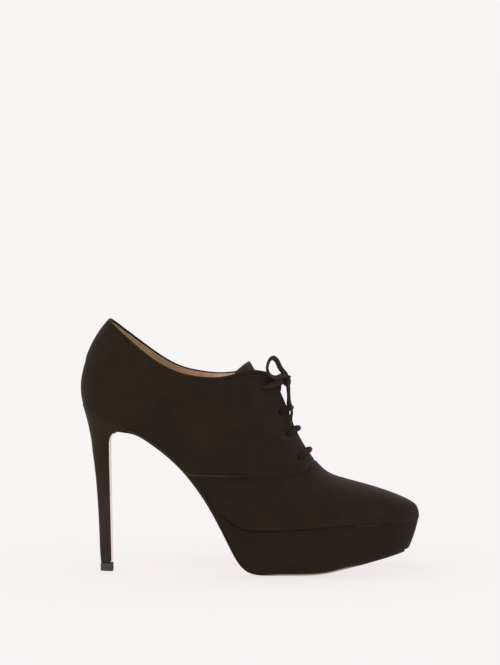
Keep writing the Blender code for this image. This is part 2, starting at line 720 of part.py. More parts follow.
def make_lace(finish):
    """Straight bars over the throat, and the bow's knot, loops and ends."""
    for number, row in enumerate(BARS, 1):
        bar = dict(zip(BAR_COLUMNS, row))
        ends = [flank_point(bar["eyelet_x"], bar["eyelet_z"], side) for side in (LATERAL, MEDIAL)]
        middle_y = (ends[0][1] + ends[1][1]) / 2
        span = (ends[1][1] - ends[0][1]) / 2 + LACE_DIAMETER / 2
        start_x, start_z = bar["eyelet_x"] + BAR_END_LIFT[0], bar["eyelet_z"] + BAR_END_LIFT[1]
        points = []
        for k in range(BAR_POINTS):
            share = 2.0 * k / (BAR_POINTS - 1) - 1.0
            arch = 1.0 - abs(share) ** bar["fullness"]
            x = start_x + (bar["crown_x"] - start_x) * arch
            z = start_z + (bar["crown_z"] - start_z) * arch
            points.append((x, middle_y + span * share, z))
        add_tube(f"lace_bar_{number}", points, finish)
    shape = bmesh.new()
    bmesh.ops.create_icosphere(shape, subdivisions=2, radius=1.0)
    for vert in shape.verts:
        vert.co = Vector([c + s * v for c, s, v in zip(KNOT_CENTRE, KNOT_HALF_SIZES, vert.co)]) * MM
    mesh = bpy.data.meshes.new("lace_knot")
    shape.to_mesh(mesh)
    shape.free()
    mesh.shade_smooth()
    add_object("lace_knot", mesh, finish)
    for name, route in ROUTES.items():
        add_tube(name, along_route(route, ROUTE_STEP), finish)


def main():
    for old in list(bpy.data.objects):
        bpy.data.objects.remove(old, do_unlink=True)
    suede = material("dark_suede", (0.024, 0.017, 0.013), 0.95)
    covered_sole = material("suede_cover", (0.022, 0.016, 0.012), 0.95)
    covered_heel = material("suede_heel", (0.024, 0.017, 0.013), 0.95)
    leather = material("pale_leather", (0.62, 0.45, 0.36), 0.45)
    lining = material("tan_lining", (0.36, 0.23, 0.14), 0.55)
    tongue_suede = material("tongue_suede", (0.026, 0.019, 0.015), 0.95)
    rubber = material("heel_rubber", (0.06, 0.057, 0.052), 0.6)
    lace = material("lace_cord", (0.03, 0.024, 0.02), 0.85)
    make_upper(suede)
    make_tongue(tongue_suede)
    make_insole(lining)
    make_platform(covered_sole)
    make_outsole(leather)
    make_heel(covered_heel)
    make_top_piece(rubber)
    make_lace(lace)


main()
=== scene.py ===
"""Looks of a right lace-up platform shoe: suede, lining, sole leather, stitching and lace."""
import math

import bmesh
import bpy
import numpy as np
from mathutils import Matrix, Vector
from mathutils.bvhtree import BVHTree


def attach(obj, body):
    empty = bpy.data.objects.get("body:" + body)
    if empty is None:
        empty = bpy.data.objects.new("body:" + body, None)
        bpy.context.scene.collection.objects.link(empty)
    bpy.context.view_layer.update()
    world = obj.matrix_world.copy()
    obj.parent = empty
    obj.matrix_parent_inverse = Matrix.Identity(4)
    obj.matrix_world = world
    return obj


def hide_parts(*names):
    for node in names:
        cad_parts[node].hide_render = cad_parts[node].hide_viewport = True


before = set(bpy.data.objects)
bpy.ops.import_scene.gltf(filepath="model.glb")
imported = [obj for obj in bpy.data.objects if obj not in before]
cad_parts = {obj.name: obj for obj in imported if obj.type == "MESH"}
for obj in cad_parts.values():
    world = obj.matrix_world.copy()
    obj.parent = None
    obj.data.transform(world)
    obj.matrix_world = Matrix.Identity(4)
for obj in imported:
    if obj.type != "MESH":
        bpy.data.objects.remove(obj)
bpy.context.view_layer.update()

# Sizes are in millimetres and angles in degrees. Stage and finishes are in metres.
MM = 0.001
BODY = "root"
LATERAL, MEDIAL = -1, 1

# Camera, floor and light
CAMERA_PLACE = (0.0, -3.0, 0.350)
CAMERA_AIM = (0.0, 0.0, 0.165)
CAMERA_LENS = 235.8
CAMERA_SENSOR = 36.0
CAMERA_REACH = 1000.0
BACKDROP = (0.947, 0.905, 0.905)
FLOOR_SIZE = 400.0
FLOOR_GLOW, FLOOR_MOTTLE = 0.70, 1.006
SUN_SHARE = 0.07
SUN_TILT = (40.0, 0.0, -35.0)
SUN_SPREAD = 70.0

# Skins over the solids. Triangles are joined to quads up to this bend and skew.
WELD_DISTANCE = 0.01
QUAD_BEND, QUAD_SKEW = 50.0, 70.0
SKIN_LEVELS = 2
SMOOTH_ANGLE = 50.0
# Corners that stay crisp when a skin is smoothed: least bend, crease
UPPER_CORNERS, COVER_CORNERS = (26.0, 0.9), (38.0, 0.92)
SOCK_CORNERS, TIP_CORNERS = (38.0, 0.6), (30.0, 0.85)

# Upper. Its finishes are counted in the order of its material slots.
OUTSIDE, INSIDE, CUT_EDGE_HIGHLIGHT, SEAM_SHADOW, TOPLINE = range(5)
UPPER_WALL = 2.0
INSIDE_START, INSIDE_FACING, INSIDE_BEND = (-60.0, -22.0, 120.0), 0.5, 48.0
RIM_FACING = -0.3
TOPLINE_CREASE = 0.55
TOPLINE_TURN, TURN_MOST = 0.55, 1.5
# Vamp's edge over the quarter in the side view, and how narrow, near and level its faces are
LAP_LINE = ((-43.0, 69.0), (-10.0, 69.3), (20.0, 70.2), (34.0, 72.0), (45.0, 76.1))
LAP_NARROW, LAP_NEAR, LAP_PAST_END, LAP_FACING = 1.3, 2.0, 4.0, 0.6
LAP_GROOVE_WIDTH, LAP_GROOVE_DEPTH = 0.45, 0.35
# Rise of the topline at places along x, with the medial side higher than the lateral one
TOPLINE_RISE = {
    LATERAL: (
        (-107.0, 0.8), (-98.0, 0.0), (-90.0, -0.4), (-80.0, -0.75),
        (-62.0, -1.0), (-30.0, -0.75), (-15.0, -0.4), (0.0, 0.0),
    ),
    MEDIAL: ((-107.0, 0.8), (-93.0, 1.4), (-67.0, 1.2), (-62.0, 0.6), (-55.0, 0.1), (-40.0, 0.0)),
}
TOPLINE_RISE_REACH = 12.0

# Depth to which a piece sits in its neighbour, so that no daylight shows between them,
# and the distances over which each piece reaches for a neighbour
SEAT_SINK = 0.25
TOUCHING = 0.001
PLATFORM_TO_SOLE, PLATFORM_TO_UPPER = 1.2, 1.8
HEEL_TO_UPPER, HEEL_TO_SOLE = 0.6, 1.5
SOLE_TO_UPPER, SOCK_TO_UPPER = 1.4, 1.5

# Heel: its front below the seat, its sides over the sole and its back, each with the step it is moved by
HEEL_FRONT_FROM, HEEL_FRONT_LOW, HEEL_FRONT_STEP = -83.5, 88.0, (0.9, 0.0, -0.3)
HEEL_LIP_FROM, HEEL_LIP_TOP, HEEL_LIP_WIDTH, HEEL_LIP_STEP = -91.0, 100.6, 23.6, 1.2
HEEL_LIP_INNER = 0.7
HEEL_BACK_LOW, HEEL_BACK_HIGH, HEEL_BACK_STEP = 9.0, 86.0, (-0.5, 0.0, 0.0)
HEEL_BACK_FACING = -0.3

# Platform and sole. Both have their edge's finish second.
EDGE_FINISH = 1
# Width of the platform's top edge that takes its painted highlight
EDGE_HIGHLIGHT_WIDTH = 0.7
RIM_RISE, RIM_REACH, RIM_OPEN, RIM_CLOSED = 0.9, 1.0, 4.0, 30.0
SOLE_FACING, BREAST_FROM = 0.35, -80.0
# Places where the sole's cut edge is pale: along the tread, in front of which the toe is dark with edge dye
# and painted shade, and at the heel's breast along x and z
TREAD_PALE = (8.0, 26.0, 60.0, 78.0)
BREAST_PALE_X, BREAST_PALE_Z = (-91.0, -87.0), (85.0, 92.0)

# Tongue: its sides flare back and droop from the middle of its width, and its top is rounded
TONGUE_MIDDLE, TONGUE_SIDE = 1.4, (4.0, 9.0)
TONGUE_TOP, TONGUE_FLARE = 143.2, 3.8
TONGUE_FLARE_SHARES = ((0.0, 0.0), (4.5, 1.0), (12.0, 1.0), (22.0, 0.0))
TONGUE_DROOP, TONGUE_DROOP_POWER, TONGUE_DROOP_HEIGHTS = 3.1, 5, (130.0, 141.0)
TONGUE_TIP_BACK, TONGUE_TIP_HEIGHTS = 0.3, (140.0, 146.0)
TONGUE_TIP_FROM, TONGUE_TIP_PRESS = 144.3, 0.3
TONGUE_TOP_FROM, TONGUE_TOP_PASSES, TONGUE_TOP_EASE = 128.0, 2, 0.5

# Eyelets, lowest first: side view of the eyelet and of the crown of its bar, power of the arch,
# share of the lace's unshaded colour that is left beside the eyelet, the rest being painted shade
EYELET_COLUMNS = ("x", "z", "crown_x", "crown_z", "fullness", "shade")
EYELETS = (
    (33.6, 80.0, 42.0, 84.4, 2.3, 0.35),
    (26.0, 96.0, 34.2, 99.2, 2.3, 0.35),
    (21.0, 111.0, 29.2, 113.2, 2.3, 0.35),
    (9.0, 127.5, 21.9, 131.4, 3.0, 0.7),
)
EYELET_RADIUS, EYELET_SIDES = 1.45, 24
EYELET_DIMPLE = 0.45
EYELET_REACH = 4.5
PUNCH_WALLS = 4.5
# How far out a line of sight to the flank starts
FLANK_START = 100.0

# Lace: a flat oval, on routes eased a little from those of the solids, which are round and as thick as it is
LACE_WIDTH, LACE_THICKNESS = 3.0, 2.1
LACE_IN_EYELET = 0.8
# Painted shade on the lace: share of its unshaded colour left on the runs behind the facings and at the knot
LACE_SHADE_HIDDEN, LACE_SHADE_AT_KNOT = 0.75, 0.7
LACE_SIDES = 16
LACE_STEP = 0.5
LACE_TIP = 0.7
SPAN_STEPS = 24
BRAID_TURNS, BRAID_PITCH = 4.0, 1.5

# Bars over the throat: places from outer to inner eyelet, start beside the eyelet, powers of taper and shade
BAR_SHARES = (-0.86, -0.7, -0.5, -0.25, 0.0, 0.25, 0.5, 0.7, 0.86)
BAR_START_X, BAR_START_Z = 0.8, 0.4
BAR_TAPER, BAR_SHADING = 3, 1.5
TOP_BAR_SIZE = 1.5
# Depths under the suede on the way through an eyelet, and the runs behind the facings
EYELET_DEPTHS = (-0.9, 0.6, 2.2, 3.6)
HIDDEN_SHARES, HIDDEN_GAP, HIDDEN_ASIDE = (0.2, 0.5, 0.8), 0.5, 1.6

# Bow: a knot laid as a trefoil, two loops and two ends
KNOT_CENTRE = (25.6, 0.6, 132.0)
KNOT_HALF_SIZES = (1.5, 3.9, 3.1)
KNOT_STEPS, KNOT_WIDE_WAY = 120, (1.0, 0.05, 0.03)
KNOT_REACH = 0.5
KNOT_LACE = 2.4
# Way of the top bar out of the knot: steps back and out, drop, and share of the bar hidden by the knot
KNOT_WAY_OUT, KNOT_WAY_DROP, KNOT_COVER = ((-0.8, 0.6), (-2.0, 2.2)), -0.5, 0.2
# Steps of unshaded colour between the ends of a loop that carry painted shade
UNSHADED_STEPS = 5
ROUTES = {
    "lace_loop_lateral": (
        (24.2, -1.3, 136.4), (21.0, -4.1, 140.6), (18.5, -5.6, 145.8), (15.8, -9.0, 148.0),
        (13.3, -12.6, 146.5), (11.8, -14.9, 141.3), (13.5, -14.9, 137.0), (17.2, -12.9, 134.8),
        (21.2, -8.2, 135.4), (23.5, -3.9, 134.9),
    ),
    "lace_loop_medial": (
        (24.0, 4.7, 134.8), (22.7, 9.3, 135.2), (19.7, 14.6, 133.4), (16.5, 18.7, 130.7),
        (11.0, 22.4, 127.0), (10.6, 25.5, 120.6), (13.4, 24.4, 116.5), (17.0, 20.8, 116.7),
        (20.0, 15.8, 123.2), (20.9, 11.8, 127.9), (23.9, 6.9, 131.2),
    ),
    "lace_end_lateral": (
        (26.4, -4.6, 130.9), (26.8, -6.4, 127.2), (26.9, -8.2, 122.6), (27.3, -9.8, 118.4),
        (28.3, -11.2, 114.4), (28.7, -12.0, 110.4), (28.2, -12.4, 106.2), (28.6, -12.6, 101.8),
    ),
    "lace_end_medial": (
        (26.2, 4.6, 127.2), (26.7, 7.2, 123.2), (26.8, 10.2, 119.4), (26.6, 13.4, 115.8),
        (26.4, 16.0, 111.8), (26.4, 17.6, 107.4), (26.2, 18.6, 103.2), (25.8, 19.6, 99.6),
    ),
}
# Share of the full size, and direction in which the oval is wide, at even steps of each route
LACE_SIZES = {
    "lace_loop_lateral": (1.2, 1.2, 1.2, 1.0, 1.0, 1.1, 1.35),
    "lace_loop_medial": (1.0, 1.0),
    "lace_end_lateral": (1.0, 0.9, 0.9),
    "lace_end_medial": (1.0, 0.9, 0.9),
}
WIDE_WAYS = {
    "lace_loop_lateral": (
        (0.85, 0.0, 0.52), (0.7, 0.0, 0.7), (0.4, 0.2, 0.85), (0.0, -0.91, 0.41),
        (0.22, -0.63, -0.7), (0.1, -0.2, -0.95), (0.0, -0.1, -1.0),
    ),
    "lace_loop_medial": ((0.0, 0.0, 1.0), (0.5, 0.0, 0.9), (0.8, 0.6, 0.0), (0.3, 0.0, 0.95)),
    "lace_end_lateral": ((0.4, 0.9, 0.0), (0.0, 1.0, 0.0), (0.5, 0.85, 0.0)),
    "lace_end_medial": ((0.3, 0.0, 0.5), (0.6, 0.6, 0.0), (0.2, 1.0, 0.3)),
}

# Stitching
STITCH_LENGTH = 1.9
STITCH_PITCH = 2.5
STITCH_THICKNESS, STITCH_SIDES, STITCH_CUTS = 0.42, 8, 3
STITCH_END_FACING, STITCH_LONG = 0.9, 0.8
STITCH_TIP_INSET, STITCH_TIP = 0.07, 0.16
STITCH_RISE, STITCH_DIP = 0.10, 0.26
TOPLINE_ROW = 2.2
LAP_ROWS = (1.5, 3.0)
LAP_ROWS_END, LAP_ROW_LEAST = 41.0, 8


def activate(piece):
    """Select one piece alone and make it the active one."""
    if bpy.context.mode != "OBJECT":
        bpy.ops.object.mode_set(mode="OBJECT")
    bpy.ops.object.select_all(action="DESELECT")
    piece.select_set(True)
    bpy.context.view_layer.objects.active = piece


def edit(piece, mode="FACE"):
    """Open a piece in edit mode with nothing selected."""
    activate(piece)
    bpy.ops.object.mode_set(mode="EDIT")
    bpy.ops.mesh.select_mode(type=mode)
    bpy.ops.mesh.select_all(action="DESELECT")


def done():
    """Close edit mode."""
    bpy.ops.object.mode_set(mode="OBJECT")


def choose(piece, kind, test):
    """Select the vertices, edges or faces of the opened piece that pass a test."""
    shape = bmesh.from_edit_mesh(piece.data)
    shape.normal_update()
    for element in [element for element in getattr(shape, kind) if test(element)]:
        element.select = True
    shape.select_flush_mode()
    bmesh.update_edit_mesh(piece.data)


def paint(piece, finish):
    """Give the chosen faces of the opened piece one of its finishes."""
    piece.active_material_index = finish
    bpy.ops.object.material_slot_assign()


def paint_where(piece, finish, test):
    """Give the faces of a piece that pass a test one of its finishes."""
    edit(piece)
    choose(piece, "faces", test)
    paint(piece, finish)
    done()


def apply_modifier(piece, kind, **values):
    """Add a modifier, set it and apply it."""
    activate(piece)
    made = piece.modifiers.new(kind.lower(), kind)
    for name, value in values.items():
        setattr(made, name, value)
    bpy.ops.object.modifier_apply(modifier=made.name)


def copy_node(node, name, *finishes):
    """Copy of a CAD node as one joined skin of quads."""
    piece = bpy.data.objects.new(name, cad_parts[node].data.copy())
    bpy.context.scene.collection.objects.link(piece)
    piece.data.materials.clear()
    for finish in finishes:
        piece.data.materials.append(finish)
    activate(piece)
    bpy.ops.mesh.customdata_custom_splitnormals_clear()
    bpy.ops.object.mode_set(mode="EDIT")
    bpy.ops.mesh.select_all(action="SELECT")
    bpy.ops.mesh.mark_sharp(clear=True)
    bpy.ops.mesh.remove_doubles(threshold=WELD_DISTANCE * MM)
    bpy.ops.mesh.tris_convert_to_quads(
        face_threshold=math.radians(QUAD_BEND), shape_threshold=math.radians(QUAD_SKEW),
    )
    done()
    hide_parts(node)
    return piece


def crease_corners(piece, angle, value):
    """Crease all edges that bend by more than an angle."""
    edit(piece, "EDGE")
    bpy.ops.mesh.edges_select_sharp(sharpness=math.radians(angle))
    bpy.ops.transform.edge_crease(value=value)
    done()


def shade_smooth(piece):
    """Shade a piece smooth, apart from its sharp corners."""
    activate(piece)
    bpy.ops.object.shade_smooth_by_angle(angle=math.radians(SMOOTH_ANGLE))


def smooth_skin(piece):
    """Subdivide a piece and shade it smooth."""
    apply_modifier(piece, "SUBSURF", levels=SKIN_LEVELS, render_levels=SKIN_LEVELS)
    shade_smooth(piece)


def score(piece, test, width, depth):
    """Press a groove into a piece along the edges that pass a test."""
    edit(piece, "EDGE")
    choose(piece, "edges", test)
    bpy.ops.mesh.bevel(offset=width * MM, segments=2, profile=1.0, affect="EDGES")
    bpy.ops.mesh.select_mode(type="FACE")
    shape = bmesh.from_edit_mesh(piece.data)
    middle = {vert.index for vert in shape.verts if all(face.select for face in vert.link_faces)}
    bpy.ops.mesh.select_mode(type="VERT")
    bpy.ops.mesh.select_all(action="DESELECT")
    choose(piece, "verts", lambda vert: vert.index in middle)
    bpy.ops.transform.shrink_fatten(value=-depth * MM)
    done()


def settle(piece, slot, *nodes):
    """Give a finished piece its body, and hide the further nodes it stands for. Its slot is not used."""
    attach(piece, BODY)
    if nodes:
        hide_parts(*nodes)


def ramp(value, ends):
    """Share of the way from one end to the other, from 0 to 1."""
    return np.interp(value, ends, (0.0, 1.0))


def skin_tree(piece, *finishes):
    """Search tree over a piece's faces, or over those of some finishes."""
    points = [vert.co for vert in piece.data.vertices]
    faces = [
        tuple(face.vertices) for face in piece.data.polygons
        if not finishes or face.material_index in finishes
    ]
    return BVHTree.FromPolygons(points, faces)


def seat(piece, neighbour, reach):
    """Bring the near edge of a piece into its neighbour."""
    tree = skin_tree(neighbour)
    for vert in piece.data.vertices:
        place, _, _, distance = tree.find_nearest(vert.co, reach * MM)
        if place is not None and distance > TOUCHING * MM:
            vert.co = place + (place - vert.co) / distance * SEAT_SINK * MM


class Finish:
    """A material's node tree, with short calls for its nodes."""

    def __init__(self, name, **sockets):
        self.material = bpy.data.materials.new(name)
        self.material.use_nodes = True
        self.tree = self.material.node_tree
        self.shader = self.tree.nodes["Principled BSDF"]
        for socket, value in sockets.items():
            self.shader.inputs[socket.replace("_", " ")].default_value = value
        self.places = self.tree.nodes.new("ShaderNodeTexCoord")

    def node(self, kind, **sockets):
        made = self.tree.nodes.new(kind)
        for socket, value in sockets.items():
            self.feed(made.inputs[socket.replace("_", " ")], value)
        return made

    def feed(self, socket, value):
        if isinstance(value, bpy.types.NodeSocket):
            self.tree.links.new(value, socket)
        else:
            socket.default_value = value

    def stretched(self, scale):
        """Object coordinates, scaled along each axis."""
        made = self.node("ShaderNodeMapping", Vector=self.places.outputs["Object"], Scale=scale)
        return made.outputs["Vector"]

    def split(self, source="Object"):
        """The three coordinates one by one."""
        return self.node("ShaderNodeSeparateXYZ", Vector=self.places.outputs[source]).outputs

    def noise(self, scale, detail=3.0, roughness=0.55, places=None):
        made = self.node("ShaderNodeTexNoise", Scale=scale, Detail=detail, Roughness=roughness)
        self.feed(made.inputs["Vector"], places or self.places.outputs["Object"])
        return made.outputs["Fac"]

    def math(self, operation, first, second=0.0, third=0.0):
        made = self.tree.nodes.new("ShaderNodeMath")
        made.operation = operation
        for socket, value in zip(made.inputs, (first, second, third)):
            self.feed(socket, value)
        return made.outputs["Value"]

    def ranged(self, value, low, high, to_low=0.0, to_high=1.0):
        made = self.node("ShaderNodeMapRange", Value=value)
        made.interpolation_type = "SMOOTHSTEP"
        for socket, number in zip(made.inputs[1:5], (low, high, to_low, to_high)):
            socket.default_value = number
        return made.outputs["Result"]

    def falling(self, along, edges):
        """Share that falls from full to none between two places."""
        full, gone = (edge * MM for edge in edges)
        return self.ranged(along, full, gone, to_low=1.0, to_high=0.0)

    def stretch(self, along, edges):
        """Share that rises between the first two of four places and falls between the others."""
        rise, full = (edge * MM for edge in edges[:2])
        return self.math("MULTIPLY", self.ranged(along, rise, full), self.falling(along, edges[2:]))

    def mix(self, share, first, second):
        """Mix of two colours, past the node's sockets for numbers and vectors."""
        made = self.tree.nodes.new("ShaderNodeMix")
        made.data_type = "RGBA"
        for number, value in ((0, share), (6, first), (7, second)):
            self.feed(made.inputs[number], value)
        return made.outputs[2]

    def bump(self, height, strength, distance, below=None):
        made = self.node("ShaderNodeBump", Height=height, Strength=strength, Distance=distance)
        if below:
            self.feed(made.inputs["Normal"], below)
        return made.outputs["Normal"]

    def colour(self, value):
        self.feed(self.shader.inputs["Base Color"], value)

    def normal(self, value):
        self.feed(self.shader.inputs["Normal"], value)


def rgb(red, green, blue):
    return (red, green, blue, 1.0)


def shaded(colour, share):
    """A colour made darker or lighter."""
    return rgb(*(share * value for value in colour))


def suede(name, dark, light, accent=None, stretch=None, axis="X"):
    """Napped suede: fine fibre, brushed patches, a soft sheen, and an accent colour along one stretch of an
    axis, which carries the painted highlights and painted shade of some finishes.
    """
    made = Finish(
        name, Roughness=0.95, Specular_IOR_Level=0.12, Sheen_Weight=0.10, Sheen_Roughness=0.42,
        Sheen_Tint=rgb(0.85, 0.71, 0.56),
    )
    broad = made.noise(scale=20.0, detail=2.0)
    brushed = made.noise(scale=110.0, detail=3.0, roughness=0.6)
    fibre = made.noise(scale=2600.0, detail=3.0, roughness=0.7)
    down = made.noise(scale=5200.0, detail=1.0, roughness=0.5, places=made.stretched((1.0, 1.0, 0.5)))
    tone = made.math("MULTIPLY_ADD", broad, 0.4, made.math("MULTIPLY", brushed, 0.25))
    tone = made.math("MULTIPLY_ADD", fibre, 0.35, tone)
    colour = made.mix(made.ranged(tone, low=0.30, high=0.70), rgb(*dark), rgb(*light))
    if accent:
        share = made.stretch(made.split()[axis], stretch)
        accent_colour = made.mix(fibre, shaded(accent, 0.7), shaded(accent, 1.3))
        colour = made.mix(share, colour, accent_colour)
    made.colour(colour)
    soft = made.bump(brushed, strength=0.10, distance=0.0006)
    napped = made.bump(fibre, strength=0.28, distance=0.0002, below=soft)
    made.normal(made.bump(down, strength=0.30, distance=0.00012, below=napped))
    return made.material


def smooth_leather(name, dark, light, roughness, grain, depth, stretches=()):
    """Finished leather: a pebbled grain with fine pores and uneven dye, and a tone that may change along the
    shoe.
    """
    made = Finish(name, Roughness=roughness, Specular_IOR_Level=0.35)
    cloudy = made.noise(scale=30.0, detail=3.0)
    mottled = made.noise(scale=260.0, detail=2.0)
    cells = made.node("ShaderNodeTexVoronoi", Vector=made.places.outputs["Object"], Scale=grain)
    pores = made.noise(scale=grain * 1.7, detail=2.0)
    tone = made.math("MULTIPLY_ADD", cloudy, 0.6, made.math("MULTIPLY", mottled, 0.4))
    dye = made.ranged(tone, low=0.36, high=0.64)
    colour = made.mix(dye, rgb(*dark), rgb(*light))
    for start, end, dark_there, light_there in stretches:
        there = made.mix(dye, rgb(*dark_there), rgb(*light_there))
        colour = made.mix(made.ranged(made.split()["X"], start * MM, end * MM), colour, there)
    made.colour(colour)
    pebbled = made.bump(cells.outputs["Distance"], strength=0.22, distance=depth)
    made.normal(made.bump(pores, strength=0.18, distance=depth * 0.6, below=pebbled))
    return made.material


def sole_edge(name, dye_with_painted_light, natural, breast):
    """Cut edge of the sole: dark at the waist with edge dye, dark at the toe with edge dye and painted shade,
    pale along the tread and down the heel's breast.
    """
    # The edge dye is lighter than the upper's suede: a painted highlight along the edge
    made = Finish(name, Roughness=0.8, Specular_IOR_Level=0.15)
    along, _, height = made.split()
    tread = made.stretch(along, TREAD_PALE)
    down = made.math("MULTIPLY", made.falling(along, BREAST_PALE_X), made.falling(height, BREAST_PALE_Z))
    fibres = made.noise(scale=900.0, detail=2.0, roughness=0.5, places=made.stretched((0.25, 1.0, 3.0)))
    pale = made.mix(fibres, shaded(natural, 0.82), rgb(*natural))
    dye_and_light_tone = made.mix(fibres, shaded(dye_with_painted_light, 0.7), shaded(dye_with_painted_light, 1.3))
    bare = made.mix(fibres, shaded(breast, 0.92), rgb(*breast))
    made.colour(made.mix(down, made.mix(tread, dye_and_light_tone, pale), bare))
    made.normal(made.bump(fibres, strength=0.25, distance=0.0002))
    return made.material


def heel_rubber(name, dark, light):
    """Hard rubber of the heel tip, with fine moulded speckle."""
    made = Finish(name, Roughness=0.58, Specular_IOR_Level=0.4)
    speckle = made.noise(scale=2200.0, detail=2.0)
    cloudy = made.noise(scale=180.0, detail=2.0)
    made.colour(made.mix(made.ranged(cloudy, low=0.35, high=0.65), rgb(*dark), rgb(*light)))
    made.normal(made.bump(speckle, strength=0.2, distance=0.0002))
    return made.material


def braid(name, dark, light):
    """Braided lace, darkened by the painted shade each point carries. Its map runs along the cord in
    millimetres and once round it.
    """
    made = Finish(
        name, Roughness=0.85, Specular_IOR_Level=0.12, Sheen_Weight=0.05, Sheen_Roughness=0.4,
        Sheen_Tint=rgb(0.85, 0.75, 0.65),
    )
    lengthwise, round_it = made.split("UV")[:2]
    along = made.math("MULTIPLY", lengthwise, 2 * math.pi / BRAID_PITCH)
    around = made.math("MULTIPLY", round_it, 2 * math.pi * BRAID_TURNS)
    one_way = made.math("SINE", made.math("ADD", along, around))
    other_way = made.math("SINE", made.math("SUBTRACT", along, around))
    strands = made.math("MAXIMUM", one_way, other_way)
    fibre = made.noise(scale=2400.0, detail=2.0)
    raised = made.ranged(strands, low=-0.6, high=1.0, to_high=0.5)
    tone = made.math("MULTIPLY_ADD", fibre, 0.5, raised)
    unshaded = made.mix(made.ranged(tone, low=0.1, high=0.85), rgb(*dark), rgb(*light))
    painted_shade = made.tree.nodes.new("ShaderNodeAttribute")
    painted_shade.attribute_name = "shade"
    made.colour(made.mix(painted_shade.outputs["Fac"], rgb(0.0, 0.0, 0.0), unshaded))
    woven = made.bump(strands, strength=0.35, distance=0.00014)
    made.normal(made.bump(fibre, strength=0.25, distance=0.0001, below=woven))
    return made.material


def sewing_thread(name, colour):
    """Fine twisted thread."""
    made = Finish(name, Roughness=0.85, Specular_IOR_Level=0.1)
    twist = made.noise(scale=2600.0, detail=2.0)
    made.colour(made.mix(twist, shaded(colour, 0.6), rgb(*colour)))
    made.normal(made.bump(twist, strength=0.3, distance=0.0001))
    return made.material


def floor_finish(name):
    """Pale floor that glows a little, as a light table does, so that shadows stay faint."""
    made = Finish(name, Roughness=1.0, Specular_IOR_Level=0.0)
    made.shader.inputs["Emission Color"].default_value = rgb(*BACKDROP)
    made.shader.inputs["Emission Strength"].default_value = FLOOR_GLOW
    share = (1.0 - FLOOR_GLOW) / (1.0 + SUN_SHARE)
    grey = (share, share, share)
    paper = made.noise(scale=6.0, detail=2.0)
    made.colour(made.mix(paper, rgb(*grey), shaded(grey, FLOOR_MOTTLE)))
    return made.material


SUEDE_DARK, SUEDE_LIGHT = (0.0145, 0.0092, 0.0056), (0.0250, 0.0167, 0.0107)
SUEDE = suede("dark_suede", SUEDE_DARK, SUEDE_LIGHT)
# Vamp's cut edge over the quarter: painted highlight where its ledge catches light from above, strongest
# towards the back, on a base darkened as painted shade so that the ledge stays faint towards the front
LAP_LEDGE_HIGHLIGHT = suede(
    "suede_ledge_painted_highlight", shaded(SUEDE_DARK, 0.72)[:3], shaded(SUEDE_LIGHT, 0.72)[:3],
    accent=(0.050, 0.039, 0.030), stretch=(-60.0, -50.0, -30.0, 10.0),
)
# Quarter just above the vamp's edge: painted shade in the seam towards the back, on a base lightened as
# painted light against the groove's own shade towards the front
LAP_SHADOW = suede(
    "suede_seam_painted_shade", shaded(SUEDE_DARK, 1.5)[:3], shaded(SUEDE_LIGHT, 1.5)[:3],
    accent=(0.006, 0.004, 0.003), stretch=(-60.0, -50.0, -20.0, 16.0),
)
FOLDED_EDGE = suede("suede_folded_edge", (0.0130, 0.0086, 0.0056), (0.0228, 0.0156, 0.0104))
# Tongue suede, lighter than the upper's all over: painted sheen for the light its rounded top catches
TONGUE_SUEDE_PAINTED_SHEEN = suede("tongue_suede", (0.0350, 0.0285, 0.0230), (0.0610, 0.0505, 0.0415))
# Platform suede, darker than the upper's: painted shade on the low platform, which gets less light from above
COVER_DARK, COVER_LIGHT = (0.0118, 0.0074, 0.0047), (0.0206, 0.0138, 0.0090)
COVER_SUEDE_PAINTED_SHADE = suede("suede_cover", COVER_DARK, COVER_LIGHT)
# Platform's top edge, lighter along the forefoot: painted highlight where the edge catches light, which also
# lightens the shade in its joint with the upper
COVER_EDGE_HIGHLIGHT = suede(
    "suede_edge_painted_highlight", COVER_DARK, COVER_LIGHT,
    accent=(0.026, 0.0192, 0.0148), stretch=(24.0, 40.0, 84.0, 92.0),
)
# Heel suede, lighter than the upper's: partly its own tone, partly painted sheen for the light its rounded
# sides catch; it takes the upper's tone towards the seat
HEEL_SUEDE = suede(
    "heel_suede", (0.0274, 0.0179, 0.0130), (0.0462, 0.0321, 0.0238),
    accent=(0.0250, 0.0166, 0.0106), stretch=(40.0, 86.0, 300.0, 310.0), axis="Z",
)
# The lining's tone changes along the shoe: pinker in the middle, lighter towards the front
LINING_MIDDLE = (-66.0, -46.0, (0.49, 0.285, 0.175), (0.61, 0.375, 0.245))
LINING_FRONT = (-36.0, -18.0, (0.66, 0.475, 0.305), (0.80, 0.610, 0.415))
LINING = smooth_leather(
    "tan_lining", (0.40, 0.265, 0.140), (0.52, 0.355, 0.195),
    roughness=0.55, grain=900.0, depth=0.00025, stretches=(LINING_MIDDLE, LINING_FRONT),
)
SOCK = smooth_leather(
    "tan_sock", (0.40, 0.25, 0.15), (0.52, 0.345, 0.22), roughness=0.5, grain=1000.0, depth=0.0002,
)
SOLE = smooth_leather(
    "pale_leather", (0.78, 0.69, 0.63), (0.86, 0.77, 0.71), roughness=0.38, grain=1300.0, depth=0.00012,
)
# Sole edge: its dye lifted above the upper's suede as a painted highlight, its toe dark with dye and painted
# shade
SOLE_EDGE = sole_edge("sole_edge", (0.0370, 0.0265, 0.0190), (0.60, 0.49, 0.38), (0.87, 0.79, 0.74))
RUBBER = heel_rubber("heel_rubber", (0.033, 0.029, 0.025), (0.047, 0.042, 0.036))
LACE = braid("lace_cord", (0.0200, 0.0146, 0.0110), (0.0370, 0.0275, 0.0212))
THREAD = sewing_thread("dark_thread", (0.0175, 0.0118, 0.0078))


